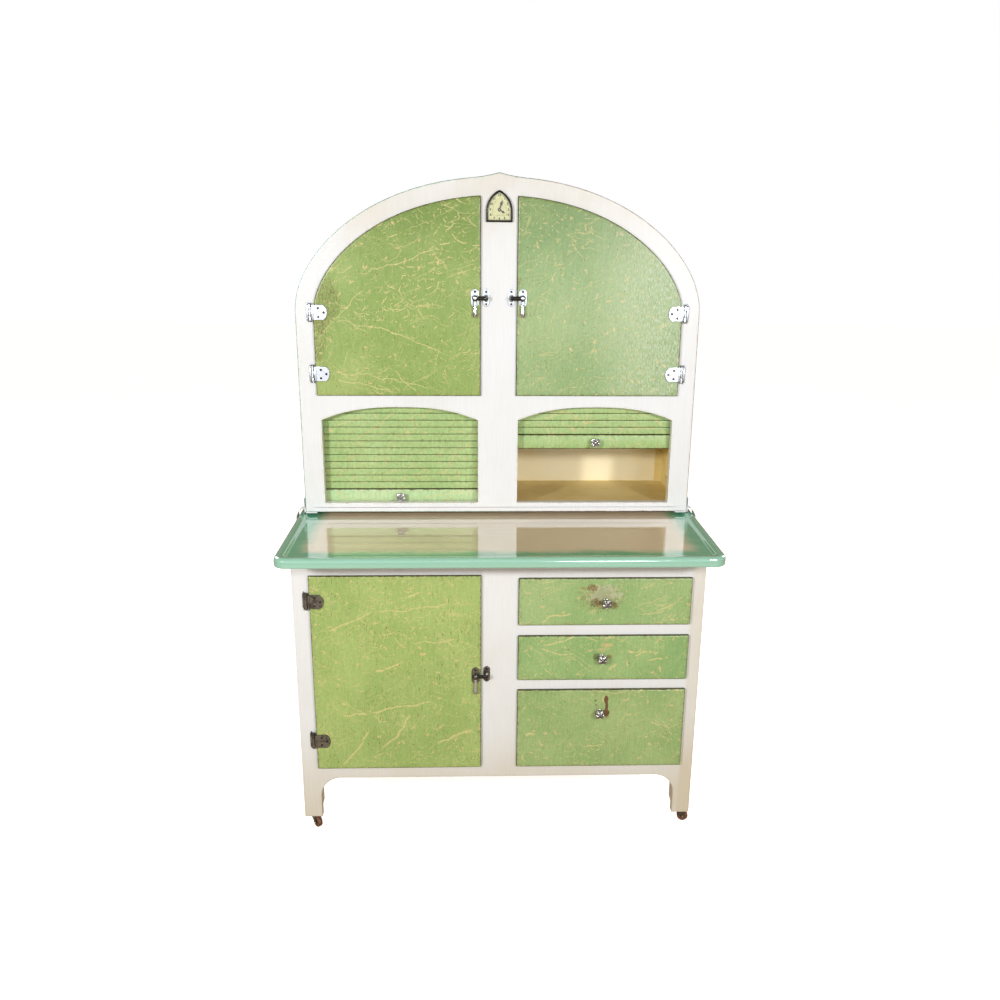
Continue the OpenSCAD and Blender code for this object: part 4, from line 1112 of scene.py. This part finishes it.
def door_outline(d):
    a, b, x_in = DOOR_HALF - d, DOOR_RISE - d, DOOR_IN + d
    end = math.degrees(math.acos(x_in / a)) - 0.12
    bottom = DOOR_BOTTOM + d
    right_side = [(a, bottom + (DOOR_ARCH_Z - bottom) * t) for t in (0.01, 0.25, 0.5, 0.75)]
    top_corner = arch(a, b, DOOR_ARCH_Z, end, 48)
    left_side = [(x_in, bottom + (top_corner[-1][1] - bottom) * t) for t in (0.99, 0.75, 0.5, 0.25, 0.01)]
    return [(x_in, bottom)] + [(x_in + (a - x_in) * t, bottom) for t in (0.01, 0.5, 0.99)] + [(a, bottom)] \
        + right_side + top_corner + left_side


right_door = front_panel(door_outline, HUTCH_Y, 3.0)
left_door = front_panel(door_outline, HUTCH_Y, 9.0).mirrored()


def back_of(face_y):
    return lambda centre, normal: centre.y > face_y + 0.5 or (normal.y > 0.5 and centre.y > face_y - 0.6)


piece("upper_right_panel", right_door, "right_door", GREEN_PAINTED_SHEEN, ("upper_right_door",),
      inside=BUFF,
      test=back_of(HUTCH_Y))
piece("upper_left_panel", left_door, "left_door", GREEN, ("upper_left_door",), inside=BUFF,
      test=back_of(HUTCH_Y))
cupboard = front_panel(rectangle(CUPBOARD_X, CUPBOARD_Z, (2, 7, 2.5, 2)), BASE_Y, 14.0)
piece("cupboard_panel", cupboard, "lower_door", GREEN_BUSY, ("cupboard_door",), inside=BUFF,
      test=back_of(BASE_Y))
for key, z in DRAWER_Z.items():
    panel = front_panel(rectangle(DRAWER_X, z, (3, 4, 3, 3)), BASE_Y, z[0] / 10)
    piece(key + "_drawer_panel", panel, key + "_drawer", DRAWER_GREEN[key],
          (key + "_drawer_front",), inside=WOOD_X, test=back_of(BASE_Y))
    keep_node(key + "_drawer_box", WOOD_X, 0.8)


# ---------- hinges ----------

def screw(solid, x, y, z, r, turn):
    """A slotted screw head that stands a little proud of a face at depth y."""
    solid.lathe([(0.2, r), (-0.35, r), (-0.5, r * 0.9)], (x, y, z), "y", 16)
    for way in (0, 180):
        half = [(x + r * 0.86 * math.cos(math.radians(t)) , z + r * 0.86 * math.sin(math.radians(t)))
                for t in (way + 12 + turn * 57, way + 50 + turn * 57, way + 90 + turn * 57,
                          way + 130 + turn * 57, way + 168 + turn * 57)]
        solid.slab(half, y - 0.4, y - 1.1, 0.3)


def hinge(x, y, z):
    """The two leaves and the screws of a hinge with its pin at x, for a door on the pin's right."""
    fixed, swing, screws = Solid(), Solid(), Solid()
    plate = [(x - 9.5, z - 17), (x - 8, z - 21), (x - 5.8, z - 24.5), (x - 3.6, z - 21), (x - 0.8, z - 17),
             (x - 0.8, z + 17), (x - 3.6, z + 21), (x - 5.8, z + 24.5), (x - 8, z + 21), (x - 9.5, z + 17)]
    fixed.slab(plate, y, y - 2.0, 0.7)
    fixed.slab([(x - 8.8, z - 13), (x - 3, z - 13), (x - 3, z + 13), (x - 8.8, z + 13)], y - 1.9, y - 2.9,
               0.9)
    for a, b in ((-20, -8.3), (8.3, 20)):
        fixed.lathe([(a, 3.9), (a + 0.5, 4.5), (b - 0.5, 4.5), (b, 3.9)], (x, y - 6, z), "z", 20)
        fixed.slab([(x - 5.5, z + a), (x - 0.2, z + a), (x - 0.2, z + b), (x - 5.5, z + b)], y - 1.5, y - 4.2,
                   0.6)
    for way in (-1, 1):
        ball = [(20.0, 1.5), (20.6, 1.6), (21.0, 2.6), (22.0, 3.0), (23.0, 2.5), (23.8, 1.2)]
        fixed.lathe([(way * a, r) for a, r in ball], (x, y - 6, z), "z", 14)
        screw(screws, x - 5.8, y - 2.0, z + way * 19.0, 2.1, 0.4 * way)
    face = y - PROUD
    leaf = [(x + 5.5, z - 18.7), (x + 34, z - 18.7)] + arc(x + 20, z, 23.4, 23.4, -50, 50, 12)
    leaf += [(x + 34, z + 18.7), (x + 5.5, z + 18.7)]
    swing.slab(leaf, face, face - 2.0, 0.7, wide=(1.8,))
    swing.slab([(x + 4.6, z - 17.6), (x + 9.6, z - 17.6), (x + 9.6, z + 17.6), (x + 4.6, z + 17.6)],
               face - 1.0, face - 3.1, 1.2)
    swing.lathe([(-7.8, 3.9), (-7.3, 4.5), (7.3, 4.5), (7.8, 3.9)], (x, y - 6, z), "z", 20)
    swing.slab([(x, z - 7.7), (x + 6, z - 7.7), (x + 6, z + 7.7), (x, z + 7.7)], face + 0.5, face - 1.4, 0.5)
    for dx, dz, t in ((21, 10.5, 0.2), (21, -10.5, 1.1), (34.7, 0, 0.7)):
        screw(screws, x + dx, face - 2.0, z + dz, 3.0, t)
    return fixed, swing, screws


# ---------- latches ----------

def oval(x, y, z, rx, rz, n):
    return [(x + rx * math.cos(2 * math.pi * i / n), y,
             z + rz * math.sin(2 * math.pi * i / n)) for i in range(n)]


def plate_outline(x, z, w, h):
    """Long plate whose ends rise to a blunt point."""
    return [(x - w / 2, z - h * 0.33), (x - w * 0.30, z - h * 0.44), (x, z - h / 2),
            (x + w * 0.30, z - h * 0.44),
            (x + w / 2, z - h * 0.33), (x + w / 2, z + h * 0.33), (x + w * 0.30, z + h * 0.44),
            (x, z + h / 2), (x - w * 0.30, z + h * 0.44), (x - w / 2, z + h * 0.33)]


def latch_on_door(x, y, z):
    """Plate and stud at x on a door whose face is at depth y, and the plate's screws."""
    plate, screws = Solid(), Solid()
    plate.slab(plate_outline(x, z, 20, 46), y, y - 1.8, 0.8, wide=(1.8,))
    plate.slab(inset(turned_left(plate_outline(x, z, 20, 46)), 2.6), y - 1.7, y - 2.4, 0.6, wide=(1.6,))
    plate.lathe([(-0.5, 7.4), (-2.6, 7.4), (-3.4, 6.6), (-3.6, 2.5), (-10, 2.4)], (x, y, z), "y", 20)
    plate.lathe([(-9.6, 2.4), (-9.8, 4.2), (-10.7, 4.1), (-11.4, 2.8), (-11.6, 1.2)], (x, y, z), "y", 16)
    for way in (-1, 1):
        screw(screws, x, y - 2.4, z + way * 15.5, 2.8, 0.6 * way)
    return plate, screws


def lever(x, y, z):
    """Arm towards +X and drop handle of a latch whose stud is at x, on a door face at depth y."""
    made = Solid()
    made.lathe([(-3.9, 5.6), (-4.3, 6.5), (-8.2, 6.5), (-9.0, 5.6), (-9.2, 3.0)], (x, y, z), "y", 20)
    arm = [(2, 6.0, 3.1, -6.2), (9, 5.2, 2.7, -6.4), (18, 5.0, 2.5, -6.6), (26, 5.8, 2.3, -6.4),
           (30, 5.0, 2.0, -6.2), (32.2, 3.0, 1.2, -6.2)]
    made.loft([[(x + dx, y + cy + ry * math.sin(t), z - 0.4 + rz * math.cos(t))
                for t in np.linspace(0, 2 * math.pi, 16, endpoint=False)] for dx, rz, ry, cy in arm])
    drop = [(1, 5.2, 2.6, -6.2), (-8, 4.1, 2.4, -6.4), (-15, 3.3, 2.1, -6.9), (-24, 3.5, 2.2, -7.6),
            (-33, 4.6, 2.7, -8.0), (-40, 5.5, 3.1, -7.9), (-45, 4.8, 2.8, -7.5), (-48, 2.4, 1.4, -7.2)]
    made.loft([[(x + rx * math.cos(t), y + cy + ry * math.sin(t), z + dz)
                for t in np.linspace(0, 2 * math.pi, 16, endpoint=False)] for dz, rx, ry, cy in drop])
    return made


def keeper(x, y, z):
    plate, screws = Solid(), Solid()
    plate.slab(plate_outline(x, z, 17, 44), y, y - 1.8, 0.8, wide=(1.8,))
    bump = [(-1.5, 6.2, 9.0), (-3.2, 6.0, 8.6), (-6.0, 5.0, 7.2), (-8.2, 3.6, 5.4), (-9.0, 1.8, 3.4)]
    plate.loft([oval(x, y + d, z - 1, rx, rz, 20) for d, rx, rz in bump])
    for way in (-1, 1):
        screw(screws, x, y - 1.8, z + way * 15.0, 2.8, 0.9 * way)
    return plate, screws


def hardware(body, tag, y, pin_x, free_x, hinge_zs, latch_z, material, mirror, fittings, lever_node,
             lever_body):
    """All metal of one door. pin_x and free_x are for a door hinged on its left; mirror turns it round."""
    fixed, swing, screws_fixed, screws_swing = Solid(), Solid(), Solid(), Solid()
    for z in hinge_zs:
        a, b, c = hinge(pin_x, y, z)
        fixed.add(a)
        swing.add(b)
        moving, still = split_screws(c, pin_x)
        screws_swing.add(moving)
        screws_fixed.add(still)
    plate, screws = latch_on_door(free_x - STUD_IN, y - PROUD, latch_z)
    swing.add(plate)
    screws_swing.add(screws)
    keep, keep_screws = keeper(free_x + KEEPER_OUT, y, latch_z)
    arm = lever(free_x - STUD_IN, y - PROUD, latch_z)
    parts = [fixed, swing, screws_fixed, screws_swing, keep, keep_screws, arm]
    if mirror:
        for part in parts:
            part.mirrored()
    piece(tag + "_fittings_metal", swing, body, material, (fittings,))
    piece(tag + "_fittings_screws", screws_swing, body, SCREW)
    # the lever's arm and hub, above the handle, take the nickel painted dark: a painted dark reflection
    piece(tag + "_lever_metal", arm, lever_body, NICKEL_WORN, (lever_node,), smooth=50,
          inside=NICKEL_PAINTED_DARK, test=lambda centre, normal: centre.z > latch_z - 7)
    screws_fixed.add(keep_screws)
    return fixed, keep, screws_fixed


def split_screws(solid, x):
    """Screws right of the pin move with the door; the others stay."""
    right, left = Solid(), Solid()
    for part, test in ((right, lambda v: v[0] > x), (left, lambda v: v[0] <= x)):
        index = {}
        for i, v in enumerate(solid.verts):
            if test(v):
                index[i] = len(part.verts)
                part.ring([v])
        part.faces = [tuple(index[i] for i in f) for f in solid.faces if f[0] in index]
    return right, left


bright_fixed, bright_keep, fixed_screws = Solid(), Solid(), Solid()
for tag, mirror in (("upper_left", False), ("upper_right", True)):
    side = tag.split("_")[1]
    a, b, c = hardware(side + "_door", tag, HUTCH_Y, -DOOR_HALF - PIN_OUT, -DOOR_IN, UPPER_HINGES,
                       UPPER_LATCH_Z, NICKEL,
                       mirror, tag + "_fittings", tag + "_lever", side + "_lever")
    bright_fixed.add(a)
    bright_keep.add(b)
    fixed_screws.add(c)
dark_fixed, dark_keep, c = hardware("lower_door", "cupboard", BASE_Y, CUPBOARD_X[0] - PIN_OUT, CUPBOARD_X[1],
                                    LOWER_HINGES, LOWER_LATCH_Z,
                                    DARK_NICKEL, False, "cupboard_fittings", "cupboard_lever",
                                    "lower_lever")
fixed_screws.add(c)
piece("upper_hinge_leaves", bright_fixed, "carcass", NICKEL, ("frame_hinge_leaves",))
piece("cupboard_hinge_leaves", dark_fixed, "carcass", DARK_NICKEL, ("frame_hinge_leaves",))
piece("upper_keepers", bright_keep, "carcass", NICKEL, ("latch_keepers",))
piece("cupboard_keeper", dark_keep, "carcass", DARK_NICKEL, ("latch_keepers",))
piece("frame_screws", fixed_screws, "carcass", SCREW)


# ---------- pulls ----------

def pull(x, y, z):
    """A cast pull: rosette, neck and a square head with four hollows between diagonal ridges."""
    made = Solid()
    made.lathe([(0, 8.2), (-1.2, 8.2), (-2.0, 7.0), (-2.6, 5.2), (-5.0, 4.3), (-9.0, 4.6), (-11.5, 6.5)],
               (x, y, z), "y", 24)
    half_size, squareness, sides = 11.5, 3.4, 64
    rim = ((0.45, -10.6), (0.80, -11.2), (0.97, -12.6), (1.0, -14.2), (0.98, -15.8))
    face = tuple((share, None) for share in (0.93, 0.86, 0.76, 0.64, 0.50, 0.36, 0.24, 0.14, 0.05))
    loops = []
    for share, rim_depth in rim + face:
        loop = []
        for i in range(sides):
            t = 2 * math.pi * i / sides
            c, s = math.cos(t), math.sin(t)
            depth = rim_depth
            if depth is None:
                ridge = abs(math.sin(2 * t)) ** 1.1
                hollow = 3.4 * (1 - ridge) * math.sin(math.pi * min(1, max(0, (share - 0.14) / 0.80))) ** 0.8
                depth = -(20.6 - 3.9 * share ** 2.0) + hollow
            r = half_size / (abs(c) ** squareness + abs(s) ** squareness) ** (1 / squareness) * share
            loop.append((x + r * c, y + depth, z + r * s))
        loops.append(loop)
    return made.loft(loops)


for key, (x, z) in DRAWER_KNOBS.items():
    piece(key + "_pull", pull(x, BASE_Y - PROUD, z), key + "_drawer", PULL_NICKEL,
          (key + "_drawer_knob",), smooth=32)


# ---------- tambours ----------

def slat(solid, z, w, y, sign):
    """One slat with a rounded front, between z and z + PITCH."""
    lo, hi = z + 0.75, z + PITCH - 0.25
    half, mid = (hi - lo) / 2, (hi + lo) / 2
    section = [(6.0, -1.0, 0), (6.0, 1.0, 0), (1.7, 1.0, 1.4), (0.6, 0.97, 3.2), (0.2, 0.91, 5.0),
               (0.06, 0.6, 7),
               (0.0, 0.0, 9), (0.06, -0.6, 7), (0.2, -0.91, 5.0), (0.6, -0.97, 3.2), (1.7, -1.0, 1.4)]
    rings = [[(sign * x, y + d, mid + half * s) for d, s, _ in section] for x in np.linspace(*SLAT_X, 12)]
    solid.strip(rings, [e for _, _, e in section], w)


def share_of_travel(z):
    """How far a point of the curtain goes with the bar: all the way below, not at all at the top."""
    return min(1.0, max(0.0, (1092 - z) / TRAVEL))


def curtain(sign, lift):
    slats, backing = Solid(), Solid()
    for k in range(12):
        z = SLATS_Z + k * PITCH
        w = share_of_travel(z + PITCH / 2)
        slat(slats, z + w * lift, w, SLAT_Y + 0.12 * max(0, k - 4), sign)
    rings = []
    for z in np.arange(SLATS_Z - 2, 1080.1, PITCH / 2):
        w = share_of_travel(z)
        rings.append(backing.ring([(sign * a, b, z + w * lift) for a, b in
                                   ((48, SLAT_Y + 7.0), (462, SLAT_Y + 7.0), (462, SLAT_Y + 7.8),
                                    (48, SLAT_Y + 7.8))], FAR, w))
    return slats, backing.close(rings)


def bend_with(obj, solid):
    """Bakes the piece's placement into its mesh. The points' shares of travel are not used."""
    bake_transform(obj)
    solid.weight


for side, sign, lift in (("left", -1, 0), ("right", 1, TRAVEL)):
    body = side + "_tambour"
    slats, backing = curtain(sign, lift)
    obj = piece(body + "_slats_painted", slats, body, GREEN_SLATS, (body + "_slats",),
                ride=False)
    bend_with(obj, slats)
    obj = piece(body + "_backing", backing, body, CLOTH, ride=False)
    bend_with(obj, backing)
    lo, hi = BAR_Z + lift, BAR_Z + BAR_H - 0.4 + lift
    bar = Solid()
    section = [(10, lo, 0), (10, hi, 0), (1.0, hi, 0), (-1.0, hi - 1.2, 1), (-2.0, hi - 3.5, 4),
               (-2.0, (lo + hi) / 2, 15), (-2.0, lo + 4, 4), (-1.2, lo + 1.5, 1), (0.6, lo, 0)]
    bar.strip([[(sign * x, SLAT_Y + d, z) for d, z, _ in section] for x in np.linspace(*SLAT_X, 12)],
              [e for _, _, e in section])
    piece(body + "_bar_painted", bar, body, GREEN_BARS if sign < 0 else GREEN_SLATS,
          (body + "_bar",))
    piece(body + "_pull", pull(sign * KNOB_X, SLAT_Y - 2, BAR_Z + BAR_H / 2 + lift), body, NICKEL_WORN,
          (body + "_knob",), smooth=32)


# ---------- clock ----------

def clock_outline(d):
    """The pointed arch at an inset: straight sides, then two arcs of radius 54 that meet."""
    w, spring, base = 32.5 - d, CLOCK_Z - 4, CLOCK_Z - 29 + d
    end = math.degrees(math.acos(21.5 / (54 - d)))
    right = arc(-21.5, spring, 54 - d, 54 - d, 0, end, 16)
    corner = max(2.2 - d, 0.3)
    foot = arc(w - corner, base + corner, corner, corner, -90, 0, 4)
    half = foot + right
    return half + [(-x, z) for x, z in half[::-1]][1:]


def clock_rings(steps):
    return [[(x, HUTCH_Y + y, z) for x, z in clock_outline(d)] for d, y in steps]


bezel = Solid().loft(clock_rings([(4.4, -0.4), (1.0, -0.4), (0.6, -1.2), (0.9, -3.6), (0.0, -4.6),
                                  (0.2, -6.2), (1.2, -7.5),
                                  (2.6, -8.0), (3.9, -7.7), (4.7, -6.9), (4.7, -6.0), (4.2, -5.9),
                                  (4.2, -1.4)]))
bezel.lathe([(0, 21.6), (40, 21.6), (43, 20.5), (44, 18)], (0, HUTCH_Y - 0.4, CLOCK_Z), "y", 40)
piece("clock_bezel", bezel, "carcass", BLACK, ("clock_case",), smooth=28)
dial = Solid().loft(clock_rings([(4.2, -1.5), (4.2, -2.3), (4.6, -2.6), (6.4, -2.6)]))
dial.lathe([(-2, 1.0), (-5.4, 0.8), (-5.7, 0.5)], (0, HUTCH_Y, CLOCK_Z), "y", 12)
piece("clock_dial_plate", dial, "carcass", DIAL, ("clock_dial",))
glass = Solid().loft(clock_rings([(4.1, -5.9), (4.1, -6.6), (4.6, -7.0), (10, -7.35), (18, -7.6)]))
piece("clock_glass_pane", glass, "carcass", GLASS, ("clock_glass",), smooth=40)


def dial_marks():
    """Numbers 1 to 12 around the dial, and two thin lines of its track."""
    parts = []
    places = {12: (0, 33.5), 1: (13.0, 25.5), 2: (19.8, 13.0), 3: (22.0, 0.0), 4: (21.2, -12.0),
              5: (12.6, -20.0),
              6: (0, -21.0), 7: (-12.6, -20.0), 8: (-21.2, -12.0), 9: (-22.0, 0.0), 10: (-19.8, 13.0),
              11: (-13.0, 25.5)}
    for number, (x, z) in places.items():
        curve = bpy.data.curves.new("number", "FONT")
        curve.body = str(number)
        curve.size = 7.6 * MM
        curve.offset = 0.36 * MM
        curve.extrude = 0.12 * MM
        curve.align_x, curve.align_y = "CENTER", "CENTER"
        curve.resolution_u = 4
        text = bpy.data.objects.new("number", curve)
        scene.collection.objects.link(text)
        text.matrix_world = (Matrix.Translation((x * MM, (HUTCH_Y - 2.72) * MM, (CLOCK_Z + z) * MM))
                             @ Matrix.Rotation(math.radians(90), 4, "X"))
        parts.append(text)
    bpy.context.view_layer.update()
    made = bmesh.new()
    for text in parts:
        mesh = bpy.data.meshes.new_from_object(text)
        mesh.transform(text.matrix_world)
        made.from_mesh(mesh)
        bpy.data.objects.remove(text)
    solid = Solid()
    for d, w in ((6.2, 0.45), (15.5, 0.35)):
        outer = clock_outline(d)
        inner = clock_outline(d + w)
        rings = [[(x, HUTCH_Y + y, z) for x, z in loop] for loop, y in
                 ((outer, -2.55), (outer, -2.75), (inner, -2.75), (inner, -2.55))]
        r = [solid.ring(ring) for ring in rings]
        for a, b in zip(r, r[1:] + r[:1]):
            solid.skin(a, b)
    start = [made.verts.new([c * MM for c in v]) for v in solid.verts]
    for f in solid.faces:
        made.faces.new([start[i] for i in f])
    mesh = bpy.data.meshes.new("clock_numbers")
    made.to_mesh(mesh)
    made.free()
    mesh.materials.append(BLACK)
    obj = bpy.data.objects.new("clock_numbers", mesh)
    scene.collection.objects.link(obj)
    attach(obj, "carcass")


dial_marks()


def clock_hand(y, angle, length, w):
    """A spade-shaped hand, drawn upright and then turned clockwise."""
    turn = math.radians(angle)

    def to_3d(p, depth):
        return (p[0] * math.cos(turn) + p[1] * math.sin(turn), depth,
                CLOCK_Z - p[0] * math.sin(turn) + p[1] * math.cos(turn))
    blade = [(w * 0.4, -5), (w * 0.55, 2), (w * 0.5, length * 0.45), (w * 1.05, length * 0.62),
             (w * 0.8, length * 0.76),
             (0.15, length), (-0.15, length), (-w * 0.8, length * 0.76), (-w * 1.05, length * 0.62),
             (-w * 0.5, length * 0.45), (-w * 0.55, 2), (-w * 0.4, -5)]
    made = Solid().slab(blade, y + 0.42, y, 0.12, to_3d=to_3d)
    hub = [(3.7 * math.cos(t), 3.7 * math.sin(t)) for t in np.linspace(0, 2 * math.pi, 20, endpoint=False)]
    return made.slab(hub, y + 0.5, y - 0.05, 0.15, to_3d=to_3d)


piece("clock_minute_blade", clock_hand(HUTCH_Y - 5.2, MINUTE_ANGLE, 23, 3.0), "minute_hand", BLACK,
      ("clock_minute_hand",))
piece("clock_hour_blade", clock_hand(HUTCH_Y - 4.2, HOUR_ANGLE, 16, 2.8), "hour_hand", BLACK,
      ("clock_hour_hand",))


# ---------- casters ----------

CASTERS = {"front_left": (-485, -178, -140), "front_right": (485, -178, -96), "rear_left": (-485, 294, 128),
           "rear_right": (485, 294, -112)}


def caster(x, y, angle):
    """Horn with its two cheeks, stem and axle; and the wheel. Both trail along +Y before they are turned."""
    horn, wheel = Solid(), Solid()
    horn.lathe([(30.6, 10.5), (31.2, 11.4), (33.2, 11.4), (34.2, 9.5), (34.8, 5.2), (70, 4.0)], (0, 0, 0),
               "z", 24)
    for side in (-1, 1):
        cheek = [(-8.5, 33.5), (8.5, 33.5), (14, 24), (18.4, 16.5), (18.2, 12.5), (16, 9.6), (12, 8.6),
                 (8, 9.8), (5.6, 13), (0, 22)]
        near, far = side * 8.3, side * 10.6
        horn.slab(cheek, near, far, 0.5, to_3d=lambda p,
                  depth: (depth * (1 - 0.012 * (33 - p[1])), p[0], p[1]))
        horn.lathe([(side * 9.5, 3.4), (side * 11.0, 3.2), (side * 11.8, 1.8)], (0, 12, 14.5), "x", 14)
    web = [(-8.8, 33.2), (-7.4, 33.2), (0.6, 22.6), (-0.6, 21.6)]
    horn.slab(web, -9.3, 9.3, to_3d=lambda p, depth: (depth, p[0], p[1]))
    horn.lathe([(-11, 2.5), (11, 2.5)], (0, 12, 14.5), "x", 14)
    wheel.lathe([(-7.5, 2.7), (-7.5, 4.5), (-6.6, 5.2), (-5.6, 6.0), (-5.8, 11.0), (-6.4, 12.8), (-5.6, 13.9),
                 (-3.8, 14.45),
                 (0, 14.5), (3.8, 14.45), (5.6, 13.9), (6.4, 12.8), (5.8, 11.0), (5.6, 6.0), (6.6, 5.2),
                 (7.5, 4.5), (7.5, 2.7)], (0, 12, 14.5), "x", 36)
    turn = Matrix.Translation((x, y, 0)) @ Matrix.Rotation(math.radians(angle), 4, "Z")
    return horn.moved(turn), wheel.moved(turn)


for key, (x, y, angle) in CASTERS.items():
    horn, wheel = caster(x, y, angle)
    piece(key + "_horn", horn, key + "_caster", STEEL, (key + "_fork",), smooth=40)
    piece(key + "_roller", wheel, key + "_wheel", WHEEL, (key + "_wheel",), smooth=40)
keep_node("caster_sockets", STEEL_PLAIN, 0)


# ---------- floor ----------

FLOOR_HALF, FLOOR_Z = 14, -0.0005   # metres
mesh = bpy.data.meshes.new("floor")
corners = [(x * FLOOR_HALF, y * FLOOR_HALF, FLOOR_Z) for x, y in ((-1, -1), (1, -1), (1, 1), (-1, 1))]
mesh.from_pydata(corners, [], [(0, 1, 2, 3)])
mesh.materials.append(floor_paint("floor_paint"))
floor = bpy.data.objects.new("floor", mesh)
scene.collection.objects.link(floor)
